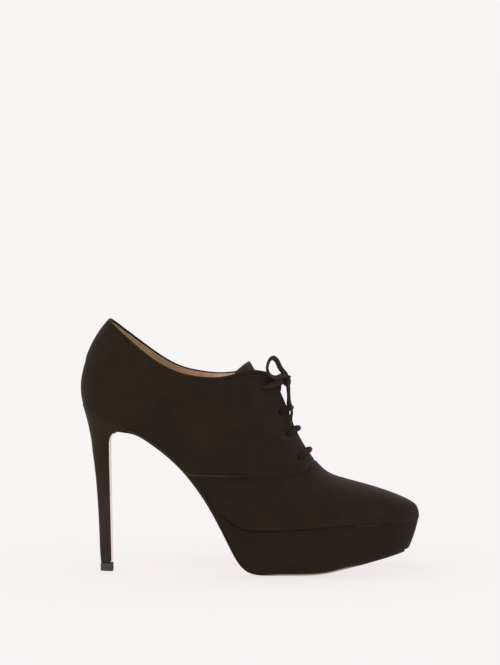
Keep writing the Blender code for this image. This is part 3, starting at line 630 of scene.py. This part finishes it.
def set_stage():
    """Floor, light and camera."""
    scene = bpy.context.scene
    bpy.ops.object.select_all(action="DESELECT")
    bpy.ops.mesh.primitive_plane_add(size=FLOOR_SIZE)
    floor = bpy.context.object
    floor.name = "floor"
    floor.data.materials.append(floor_finish("pale_floor"))
    world = bpy.data.worlds.new("soft_room")
    world.use_nodes = True
    sky = world.node_tree.nodes["Background"]
    sky.inputs["Color"].default_value = rgb(*BACKDROP)
    sky.inputs["Strength"].default_value = 1.0
    scene.world = world
    sun = bpy.data.lights.new("soft_key", "SUN")
    sun.color = BACKDROP
    sun.energy = math.pi * SUN_SHARE / math.cos(math.radians(SUN_TILT[0]))
    sun.angle = math.radians(SUN_SPREAD)
    key = bpy.data.objects.new("soft_key", sun)
    key.rotation_euler = [math.radians(angle) for angle in SUN_TILT]
    scene.collection.objects.link(key)
    camera = bpy.data.cameras.new("camera")
    camera.lens = CAMERA_LENS
    camera.sensor_width = CAMERA_SENSOR
    camera.clip_end = CAMERA_REACH
    viewer = bpy.data.objects.new("camera", camera)
    viewer.location = CAMERA_PLACE
    aim = Vector(CAMERA_AIM) - Vector(CAMERA_PLACE)
    viewer.rotation_euler = aim.to_track_quat("-Z", "Y").to_euler()
    scene.collection.objects.link(viewer)
    scene.camera = viewer
    scene.view_settings.view_transform = "Standard"


def smooth_line(route):
    """Even points on a smooth curve through a route, the route's count at each, and its length."""
    route = np.array(route, float)
    padded = [2 * route[0] - route[1], *route, 2 * route[-1] - route[-2]]
    fine, stations = [], []
    for k, (a, b, c, d) in enumerate(zip(padded, padded[1:], padded[2:], padded[3:])):
        for f in np.linspace(0.0, 1.0, SPAN_STEPS, endpoint=False):
            bend = (2 * a - 5 * b + 4 * c - d) * f ** 2 + (3 * b - a - 3 * c + d) * f ** 3
            fine.append((2 * b + (c - a) * f + bend) / 2)
            stations.append(k + f)
    fine = np.array(fine + [route[-1]])
    stations = np.array(stations + [len(route) - 1.0])
    lengths = np.concatenate(([0.0], np.cumsum(np.linalg.norm(np.diff(fine, axis=0), axis=1))))
    places = np.linspace(0.0, lengths[-1], max(2, round(lengths[-1] / LACE_STEP)) + 1)
    line = np.stack([np.interp(places, lengths, fine[:, axis]) for axis in range(3)], axis=1)
    return line, np.interp(places, lengths, stations), lengths[-1]


def between(values, counts):
    """Values given at even steps of a route, at the counts of its points."""
    values = np.array(values, float)
    steps = np.linspace(0.0, counts[-1], len(values))
    return np.stack([np.interp(counts, steps, column) for column in values.T], axis=1)


def cord_tube(name, line, wide, traits, sizes=(LACE_WIDTH, LACE_THICKNESS), closed=False):
    """Oval cord along a line of points, with a map that runs along and round it.

    The traits of a point are its share of the full size and of the unshaded colour, the rest being painted
    shade.
    """
    count = len(line)
    if closed:
        tangents = np.roll(line, -1, axis=0) - np.roll(line, 1, axis=0)
    else:
        tangents = np.gradient(line, axis=0)
    tangents /= np.linalg.norm(tangents, axis=1)[:, None]
    steps = np.concatenate(([0.0], np.cumsum(np.linalg.norm(np.diff(line, axis=0), axis=1))))
    angles = np.linspace(0.0, 2 * math.pi, LACE_SIDES, endpoint=False)
    shape = bmesh.new()
    rings = []
    for k, tangent in enumerate(tangents):
        side = wide[k] - tangent * (wide[k] @ tangent)
        side /= np.linalg.norm(side)
        other = np.cross(tangent, side)
        end = not closed and k in (0, count - 1)
        size = np.array(sizes) / 2 * traits[k][0] * (LACE_TIP if end else 1.0)
        ring = [line[k] + size[0] * math.cos(a) * side + size[1] * math.sin(a) * other for a in angles]
        rings.append([shape.verts.new(Vector(point) * MM) for point in ring])
    places = shape.loops.layers.uv.new("UVMap")
    pairs = list(zip(range(count - 1), range(1, count))) + ([(count - 1, 0)] if closed else [])
    for k, after in pairs:
        reach = (steps[k], steps[k] + np.linalg.norm(line[after] - line[k]))
        for i in range(LACE_SIDES):
            j = (i + 1) % LACE_SIDES
            face = shape.faces.new((rings[k][i], rings[k][j], rings[after][j], rings[after][i]))
            face.smooth = True
            spots = ((reach[0], i), (reach[0], i + 1), (reach[1], i + 1), (reach[1], i))
            for loop, (along, around) in zip(face.loops, spots):
                loop[places].uv = (along, around / LACE_SIDES)
    if not closed:
        shape.faces.new(rings[0][::-1])
        shape.faces.new(rings[-1])
    bmesh.ops.recalc_face_normals(shape, faces=shape.faces)
    mesh = bpy.data.meshes.new(name)
    shape.to_mesh(mesh)
    shape.free()
    mesh.materials.append(LACE)
    shade = mesh.attributes.new("shade", "FLOAT", "POINT")
    shade.data.foreach_set("value", np.repeat(np.array(traits)[:, 1], LACE_SIDES))
    piece = bpy.data.objects.new(name, mesh)
    bpy.context.scene.collection.objects.link(piece)
    return piece


def into_knot(point):
    """Point on the way from a lace end at the knot's side to its middle."""
    return point.lerp(Vector(KNOT_CENTRE), KNOT_REACH)


def make_bow():
    """Knot, loops and ends of the bow."""
    turns = np.linspace(0.0, 2 * math.pi, KNOT_STEPS, endpoint=False)
    knot = np.stack((
        -np.sin(3 * turns) * KNOT_HALF_SIZES[0],
        (np.sin(turns) + 2 * np.sin(2 * turns)) / 3 * KNOT_HALF_SIZES[1],
        (np.cos(turns) - 2 * np.cos(2 * turns)) / 3 * KNOT_HALF_SIZES[2],
    ), axis=1)
    outward = np.tile(KNOT_WIDE_WAY, (KNOT_STEPS, 1))
    tied = cord_tube(
        "bow_knot", knot + np.array(KNOT_CENTRE), outward, [(1.0, LACE_SHADE_AT_KNOT)] * KNOT_STEPS,
        (KNOT_LACE, KNOT_LACE), closed=True,
    )
    settle(tied, "lace_cord", "lace_knot")
    for node, route in ROUTES.items():
        route = [Vector(point) for point in route]
        route.insert(0, into_knot(route[0]))
        if "loop" in node:
            route.append(into_knot(route[-1]))
        line, counts, length = smooth_line(route)
        shades = [LACE_SHADE_AT_KNOT, *[1.0] * UNSHADED_STEPS, LACE_SHADE_AT_KNOT if "loop" in node else 1.0]
        columns = [[[value] for value in values] for values in (LACE_SIZES[node], shades)]
        traits = np.hstack([between(column, counts) for column in columns])
        piece = cord_tube(node.replace("lace", "bow"), line, between(WIDE_WAYS[node], counts), traits)
        settle(piece, "lace_cord", node)


def on_flank(tree, x, z, side):
    """Point and normal on the outside of the upper, seen from one side at x, z."""
    start = Vector((x * MM, side * FLANK_START * MM, z * MM))
    place, normal, _, _ = tree.ray_cast(start, Vector((0.0, -side, 0.0)))
    return place, normal


def bar_points(bar, pair, shares):
    """Points of a bar over the throat at shares of its span, each with its wide way and its traits."""
    lateral, medial = pair[LATERAL][0] / MM, pair[MEDIAL][0] / MM
    middle = (lateral.y + medial.y) / 2
    span = (medial.y - lateral.y) / 2 + LACE_THICKNESS / 2
    start_x, start_z = bar["x"] + BAR_START_X, bar["z"] + BAR_START_Z
    rise_x = bar["crown_x"] - bar["x"] - BAR_START_X
    rise_z = bar["crown_z"] - bar["z"] - BAR_START_Z
    way = (-rise_z, 0.0, rise_x)
    points = []
    for share in shares:
        arch = 1.0 - abs(share) ** bar["fullness"]
        place = (start_x + rise_x * arch, middle + span * share, start_z + rise_z * arch)
        size = 1.0 - (1.0 - LACE_IN_EYELET) * abs(share) ** BAR_TAPER
        shade = 1.0 - (1.0 - bar["shade"]) * abs(share) ** BAR_SHADING
        points.append((place, way, (size, shade)))
    return points


def through(eyelet, bar):
    """Points through an eyelet, from outside in."""
    place, normal = eyelet
    way = (bar["z"] - bar["crown_z"], 0.0, bar["crown_x"] - bar["x"])
    traits = (LACE_IN_EYELET, bar["shade"])
    return [(tuple(place / MM - normal * depth), way, traits) for depth in EYELET_DEPTHS]


def hidden_run(tree, start, end, side, aside):
    """Points of a run behind the facing, between two eyelets."""
    depth = UPPER_WALL + LACE_THICKNESS / 2 + HIDDEN_GAP
    heading = Vector((end["x"] - start["x"], 0.0, end["z"] - start["z"]))
    points = []
    for share in HIDDEN_SHARES:
        x = start["x"] + heading.x * share + aside
        place, normal = on_flank(tree, x, start["z"] + heading.z * share, side)
        way = tuple(normal.cross(heading).normalized())
        points.append((tuple(place / MM - normal * depth), way, (1.0, LACE_SHADE_HIDDEN)))
    return points


def make_lace(tree, bars, holes):
    """The lace from the knot down through the eyelets, across its bars and back up to the knot."""
    first, second, third, top = range(len(bars))
    knot = np.array(KNOT_CENTRE)
    upright, at_knot = (0.0, 0.0, 1.0), (TOP_BAR_SIZE, LACE_SHADE_AT_KNOT)

    def from_knot(side):
        steps = [knot + (back, side * out, KNOT_WAY_DROP) for back, out in KNOT_WAY_OUT]
        start = [(tuple(step), upright, at_knot) for step in steps]
        reach = sorted((share for share in BAR_SHARES if share * side > KNOT_COVER), key=abs)
        bar = bar_points(bars[top], holes[top], reach)
        return start + [(place, way, (size * TOP_BAR_SIZE, shade)) for place, way, (size, shade) in bar]

    def dive(number, side):
        return through(holes[number][side], bars[number])

    def across(number, side):
        points = bar_points(bars[number], holes[number], BAR_SHARES)
        return points if side == LATERAL else points[::-1]

    route = from_knot(LATERAL) + dive(top, LATERAL)
    route += hidden_run(tree, bars[top], bars[third], LATERAL, 0.0) + dive(third, LATERAL)[::-1]
    route += across(third, LATERAL) + dive(third, MEDIAL)
    route += hidden_run(tree, bars[third], bars[first], MEDIAL, -HIDDEN_ASIDE) + dive(first, MEDIAL)[::-1]
    route += across(first, MEDIAL) + dive(first, LATERAL)
    route += hidden_run(tree, bars[first], bars[second], LATERAL, 0.0) + dive(second, LATERAL)[::-1]
    route += across(second, LATERAL) + dive(second, MEDIAL)
    route += hidden_run(tree, bars[second], bars[top], MEDIAL, HIDDEN_ASIDE) + dive(top, MEDIAL)[::-1]
    route += from_knot(MEDIAL)[::-1]
    points, ways, traits = (np.array(column, float) for column in zip(*route))
    for k in range(1, len(ways)):
        ways[k] *= 1.0 if ways[k] @ ways[k - 1] >= 0.0 else -1.0
    line, counts, _ = smooth_line(points)
    piece = cord_tube("lace_bars", line, between(ways, counts), between(traits, counts))
    settle(piece, "lace_cord", "lace_bar_1", "lace_bar_2", "lace_bar_3", "lace_bar_4")


def narrower(face, width):
    """True for a face that has an edge shorter than a width."""
    return min(line.calc_length() for line in face.edges) < width * MM


def on_lap(face):
    """True for the narrow cut edge of the vamp, where it lies over the quarter."""
    place = face.calc_center_median() / MM
    start, end = LAP_LINE[0][0] - LAP_PAST_END, LAP_LINE[-1][0] + LAP_PAST_END
    height = np.interp(place.x, *zip(*LAP_LINE))
    near = abs(place.z - height) < LAP_NEAR and start < place.x < end
    return near and narrower(face, LAP_NARROW) and face.normal.z > LAP_FACING


def behind_lap(line):
    """True for an edge along the corner between the vamp's cut edge and the quarter above it."""
    if len(line.link_faces) != 2 or line.calc_length() < LAP_NARROW * MM:
        return False
    upper_face, lower_face = sorted(line.link_faces, key=lambda face: -face.calc_center_median().z)
    return on_lap(lower_face) and not on_lap(upper_face)


def select_inside(piece):
    """Select the inside of the upper, from a face beside the heel outwards to the rims."""
    start = Vector(INSIDE_START) * MM
    inner = [face for face in piece.data.polygons if face.normal.y > INSIDE_FACING and face.center.y < 0.0]
    nearest = min(inner, key=lambda face: (face.center - start).length).index
    edit(piece)
    choose(piece, "faces", lambda face: face.index == nearest)
    bpy.ops.mesh.faces_select_linked_flat(sharpness=math.radians(INSIDE_BEND))


def meets(face, finish):
    """True where a face shares an edge with a face of a finish."""
    return any(other.material_index == finish for line in face.edges for other in line.link_faces)


def trim_topline(piece):
    """Move the topline up or down along the shoe, and the wall below it less and less."""
    points = np.array([vert.co for vert in piece.data.vertices]) / MM
    edge_faces = [face for face in piece.data.polygons if face.material_index == TOPLINE]
    rim = sorted({index for face in edge_faces for index in face.vertices})
    for vert, point in zip(piece.data.vertices, points):
        distance = np.linalg.norm(points[rim] - point, axis=1).min()
        share = max(0.0, 1.0 - distance / TOPLINE_RISE_REACH)
        side = MEDIAL if point[1] > 0.0 else LATERAL
        vert.co.z += np.interp(point[0], *zip(*TOPLINE_RISE[side])) * share * MM


def make_upper():
    """Suede wall with its folded topline, its lap and its lining."""
    piece = copy_node("upper", "upper_wall", SUEDE, LINING, LAP_LEDGE_HIGHLIGHT, LAP_SHADOW, FOLDED_EDGE)
    select_inside(piece)
    paint(piece, INSIDE)
    done()
    paint_where(
        piece, TOPLINE,
        lambda face: face.material_index == OUTSIDE and face.normal.z > RIM_FACING and meets(face, INSIDE),
    )
    edit(piece, "EDGE")
    choose(
        piece, "edges",
        lambda line: {face.material_index for face in line.link_faces} == {INSIDE, TOPLINE},
    )
    bpy.ops.mesh.bevel(offset=TOPLINE_TURN * MM, segments=2, profile=1.0, affect="EDGES")
    done()
    paint_where(
        piece, TOPLINE,
        lambda face: face.material_index == INSIDE and meets(face, TOPLINE)
        and narrower(face, TURN_MOST * TOPLINE_TURN),
    )
    paint_where(
        piece, OUTSIDE,
        lambda face: face.material_index == INSIDE and face.normal.z < RIM_FACING and meets(face, OUTSIDE),
    )
    trim_topline(piece)
    # The vamp's narrow cut edge takes the painted highlight of its ledge
    paint_where(piece, CUT_EDGE_HIGHLIGHT, on_lap)
    score(piece, behind_lap, LAP_GROOVE_WIDTH, LAP_GROOVE_DEPTH)
    paint_where(
        piece, SEAM_SHADOW,
        lambda face: face.material_index == OUTSIDE and meets(face, CUT_EDGE_HIGHLIGHT)
        and narrower(face, LAP_NARROW),
    )
    crease_corners(piece, *UPPER_CORNERS)
    edit(piece, "EDGE")
    choose(piece, "edges", lambda line: any(face.material_index == TOPLINE for face in line.link_faces))
    bpy.ops.transform.edge_crease(value=TOPLINE_CREASE - UPPER_CORNERS[1])
    done()
    smooth_skin(piece)
    return piece


def punch_eyelets(piece, eyelets):
    """Sink the suede a little round each eyelet, then cut the holes right through the wall."""
    for place, normal in eyelets:
        near = [v for v in piece.data.vertices if (v.co - place).length < EYELET_REACH * MM]
        for vert in near:
            share = (vert.co - place).length / (EYELET_REACH * MM)
            vert.co -= normal * EYELET_DIMPLE * MM * (1.0 - share * share) ** 2
    punches = []
    for place, normal in eyelets:
        bpy.ops.object.select_all(action="DESELECT")
        bpy.ops.mesh.primitive_cylinder_add(
            vertices=EYELET_SIDES, radius=EYELET_RADIUS * MM, depth=PUNCH_WALLS * UPPER_WALL * MM,
            location=place, rotation=normal.to_track_quat("Z", "Y").to_euler(),
        )
        punches.append(bpy.context.object)
    for punch in punches:
        punch.select_set(True)
    bpy.ops.object.join()
    cutter = bpy.context.object
    apply_modifier(piece, "BOOLEAN", operation="DIFFERENCE", solver="EXACT", object=cutter)
    bpy.data.objects.remove(cutter, do_unlink=True)
    shade_smooth(piece)


def rows_beside(piece, finish, edge, inset, tree):
    """Rows of points on one finish of a piece, at a distance from where another finish begins."""
    shape = bmesh.new()
    shape.from_mesh(piece.data)
    beside = {}
    for line in shape.edges:
        if sorted(face.material_index for face in line.link_faces) == sorted((finish, edge)):
            for vert in line.verts:
                beside.setdefault(vert, []).append(line.other_vert(vert))
    rows = []
    left = set(beside)
    while left:
        ends = [vert for vert in left if len(beside[vert]) == 1]
        vert = min(ends or left, key=lambda vert: vert.index)
        chain = []
        while vert is not None:
            chain.append(vert)
            left.discard(vert)
            vert = next((other for other in beside[vert] if other in left), None)
        row = []
        for before, vert, after in zip(chain, chain[1:], chain[2:]):
            along = (after.co - before.co).normalized()
            faces = [face for face in vert.link_faces if face.material_index == finish]
            inward = sum((face.calc_center_median() - vert.co for face in faces), Vector())
            inward = (inward - along * inward.dot(along)).normalized()
            row.append(tree.find_nearest(vert.co + inward * inset * MM)[0])
        rows.append(row)
    shape.free()
    return rows


def evenly(points, pitch):
    """Points along a polyline at even distances."""
    points = np.array([tuple(point) for point in points])
    lengths = np.concatenate(([0.0], np.cumsum(np.linalg.norm(np.diff(points, axis=0), axis=1))))
    places = np.arange(0.5 * pitch, lengths[-1], pitch)
    return [Vector([np.interp(place, lengths, points[:, axis]) for axis in range(3)]) for place in places]


def make_stitch():
    """One stitch: a short thread with round ends that dip into the suede."""
    bpy.ops.object.select_all(action="DESELECT")
    bpy.ops.mesh.primitive_cylinder_add(
        vertices=STITCH_SIDES, radius=STITCH_THICKNESS / 2 * MM, depth=STITCH_LENGTH * MM,
        rotation=(0.0, math.pi / 2, 0.0),
    )
    stitch = bpy.context.object
    bpy.ops.object.transform_apply(location=True, rotation=True, scale=True)
    edit(stitch)
    choose(stitch, "faces", lambda face: abs(face.normal.x) > STITCH_END_FACING)
    bpy.ops.mesh.inset(thickness=STITCH_TIP_INSET * MM, depth=STITCH_TIP * MM)
    bpy.ops.mesh.select_all(action="DESELECT")
    choose(stitch, "edges", lambda line: line.calc_length() > STITCH_LONG * STITCH_LENGTH * MM)
    bpy.ops.mesh.subdivide(number_cuts=STITCH_CUTS)
    done()
    half = STITCH_LENGTH / 2 * MM
    for vert in stitch.data.vertices:
        vert.co.z += STITCH_RISE * MM - STITCH_DIP * MM * (vert.co.x / half) ** 2
    stitch.data.materials.append(THREAD)
    return stitch


def sew(name, rows, tree):
    """Stitches along rows of points that lie on the skin."""
    stitch = make_stitch()
    copies = []
    for row in rows:
        for start, end in zip(row, row[1:]):
            place, normal, _, _ = tree.find_nearest((start + end) / 2)
            along = (end - start).normalized()
            across = normal.cross(along).normalized()
            turn = Matrix((along, across, along.cross(across))).transposed()
            copied = stitch.copy()
            copied.data = stitch.data.copy()
            copied.matrix_world = Matrix.Translation(place) @ turn.to_4x4()
            bpy.context.scene.collection.objects.link(copied)
            copies.append(copied)
    bpy.data.objects.remove(stitch, do_unlink=True)
    activate(copies[0])
    for copied in copies:
        copied.select_set(True)
    bpy.ops.object.join()
    piece = bpy.context.object
    piece.name = name
    bpy.ops.object.transform_apply(location=True, rotation=True, scale=True)
    bpy.ops.object.shade_smooth()
    settle(piece, "lace_cord")


def sew_upper(piece):
    """One row along the topline and facings, two rows below the vamp's edge."""
    tree = skin_tree(piece, OUTSIDE, CUT_EDGE_HIGHLIGHT, SEAM_SHADOW)
    topline = rows_beside(piece, OUTSIDE, TOPLINE, TOPLINE_ROW, tree)
    sew("topline_stitches", [evenly(max(topline, key=len), STITCH_PITCH * MM)], tree)
    laps = [row for inset in LAP_ROWS for row in rows_beside(piece, OUTSIDE, CUT_EDGE_HIGHLIGHT, inset, tree)]
    laps = [[point for point in row if point.x < LAP_ROWS_END * MM] for row in laps]
    laps = [row for row in laps if len(row) > LAP_ROW_LEAST]
    sew("vamp_stitches", [evenly(row, STITCH_PITCH * MM) for row in laps], tree)


def make_tongue():
    """Tongue flap, suede on both sides."""
    # Its lighter suede is painted sheen
    piece = copy_node("tongue", "tongue_flap", TONGUE_SUEDE_PAINTED_SHEEN)
    for vert in piece.data.vertices:
        height = vert.co.z / MM
        aside = ramp(abs(vert.co.y / MM - TONGUE_MIDDLE), TONGUE_SIDE)
        flare = TONGUE_FLARE * aside * np.interp(TONGUE_TOP - height, *zip(*TONGUE_FLARE_SHARES))
        droop = TONGUE_DROOP * aside ** TONGUE_DROOP_POWER * ramp(height, TONGUE_DROOP_HEIGHTS)
        back = TONGUE_TIP_BACK * ramp(height, TONGUE_TIP_HEIGHTS)
        vert.co.x -= (flare + back) * MM
        vert.co.z -= (droop + TONGUE_TIP_PRESS * max(0.0, height - TONGUE_TIP_FROM)) * MM
    edit(piece, "VERT")
    choose(piece, "verts", lambda vert: vert.co.z > TONGUE_TOP_FROM * MM)
    bpy.ops.mesh.vertices_smooth(factor=TONGUE_TOP_EASE, repeat=TONGUE_TOP_PASSES)
    done()
    smooth_skin(piece)
    settle(piece, "dark_suede")


def close_rim(piece, tree):
    """Draw the top edge of the platform up the wall, in front of the place where its joint stays open."""
    for vert in piece.data.vertices:
        share = ramp(vert.co.x / MM, (RIM_OPEN, RIM_CLOSED))
        if share and tree.find_nearest(vert.co, RIM_REACH * MM)[0] is not None:
            vert.co = tree.find_nearest(vert.co + Vector((0.0, 0.0, share * RIM_RISE * MM)))[0]


def make_platform(upper, outsole):
    """Suede-covered platform, with a painted highlight along part of its top edge."""
    piece = copy_node("platform", "platform_cover", COVER_SUEDE_PAINTED_SHADE, COVER_EDGE_HIGHLIGHT)
    tree = skin_tree(upper)
    seat(piece, outsole, PLATFORM_TO_SOLE)
    seat(piece, upper, PLATFORM_TO_UPPER)
    close_rim(piece, tree)
    crease_corners(piece, *COVER_CORNERS)
    smooth_skin(piece)
    # Faces along the joint with the upper take the painted highlight
    paint_where(
        piece, EDGE_FINISH,
        lambda face: tree.find_nearest(face.calc_center_median(), EDGE_HIGHLIGHT_WIDTH * MM)[0] is not None,
    )
    settle(piece, "suede_cover")


def on_heel_lip(place, side):
    """True on one side of the heel's lower edge over the arch, which lies on the sole."""
    low_front = place.x > HEEL_LIP_FROM and place.z < HEEL_LIP_TOP
    return low_front and HEEL_LIP_INNER * HEEL_LIP_WIDTH < place.y * side < HEEL_LIP_WIDTH


def make_heel(upper, outsole):
    """Suede-covered heel, closed up against the upper and the sole."""
    piece = copy_node("heel", "heel_cover", HEEL_SUEDE)
    seat(piece, upper, HEEL_TO_UPPER)
    seat(piece, outsole, HEEL_TO_SOLE)
    edit(piece, "VERT")
    choose(
        piece, "verts",
        lambda vert: vert.co.x > HEEL_FRONT_FROM * MM and vert.co.z > HEEL_FRONT_LOW * MM,
    )
    bpy.ops.transform.translate(value=[step * MM for step in HEEL_FRONT_STEP])
    for side in (LATERAL, MEDIAL):
        bpy.ops.mesh.select_all(action="DESELECT")
        choose(piece, "verts", lambda vert: on_heel_lip(vert.co / MM, side))
        bpy.ops.transform.translate(value=(0.0, side * HEEL_LIP_STEP * MM, 0.0))
    bpy.ops.mesh.select_all(action="DESELECT")
    choose(
        piece, "verts",
        lambda vert: HEEL_BACK_LOW * MM < vert.co.z < HEEL_BACK_HIGH * MM
        and vert.normal.x < HEEL_BACK_FACING,
    )
    bpy.ops.transform.translate(value=[step * MM for step in HEEL_BACK_STEP])
    done()
    crease_corners(piece, *COVER_CORNERS)
    smooth_skin(piece)
    settle(piece, "suede_cover")


def make_outsole(upper):
    """Pale sole leather with its cut edge."""
    piece = copy_node("outsole", "sole_leather", SOLE, SOLE_EDGE)
    paint_where(
        piece, EDGE_FINISH,
        lambda face: face.normal.z > -SOLE_FACING
        and not (face.calc_center_median().x < BREAST_FROM * MM and face.normal.x > SOLE_FACING),
    )
    seat(piece, upper, SOLE_TO_UPPER)
    crease_corners(piece, *COVER_CORNERS)
    smooth_skin(piece)
    settle(piece, "pale_leather")
    return piece


def make_insole(upper):
    """Lining sock on the insole, out to the lining."""
    piece = copy_node("insole", "lining_sock", SOCK)
    seat(piece, upper, SOCK_TO_UPPER)
    crease_corners(piece, *SOCK_CORNERS)
    smooth_skin(piece)
    settle(piece, "tan_lining")


def make_top_piece():
    """Rubber tip under the heel."""
    piece = copy_node("top_piece", "heel_tip", RUBBER)
    crease_corners(piece, *TIP_CORNERS)
    smooth_skin(piece)
    settle(piece, "heel_rubber")


set_stage()
make_bow()
upper = make_upper()
upper_tree = skin_tree(upper)
bars = [dict(zip(EYELET_COLUMNS, row)) for row in EYELETS]
holes = [
    {side: on_flank(upper_tree, bar["x"], bar["z"], side) for side in (LATERAL, MEDIAL)}
    for bar in bars
]
make_lace(upper_tree, bars, holes)
sew_upper(upper)
punch_eyelets(upper, [hole for pair in holes for hole in pair.values()])
settle(upper, "dark_suede")
make_tongue()
outsole = make_outsole(upper)
make_platform(upper, outsole)
make_heel(upper, outsole)
make_insole(upper)
make_top_piece()
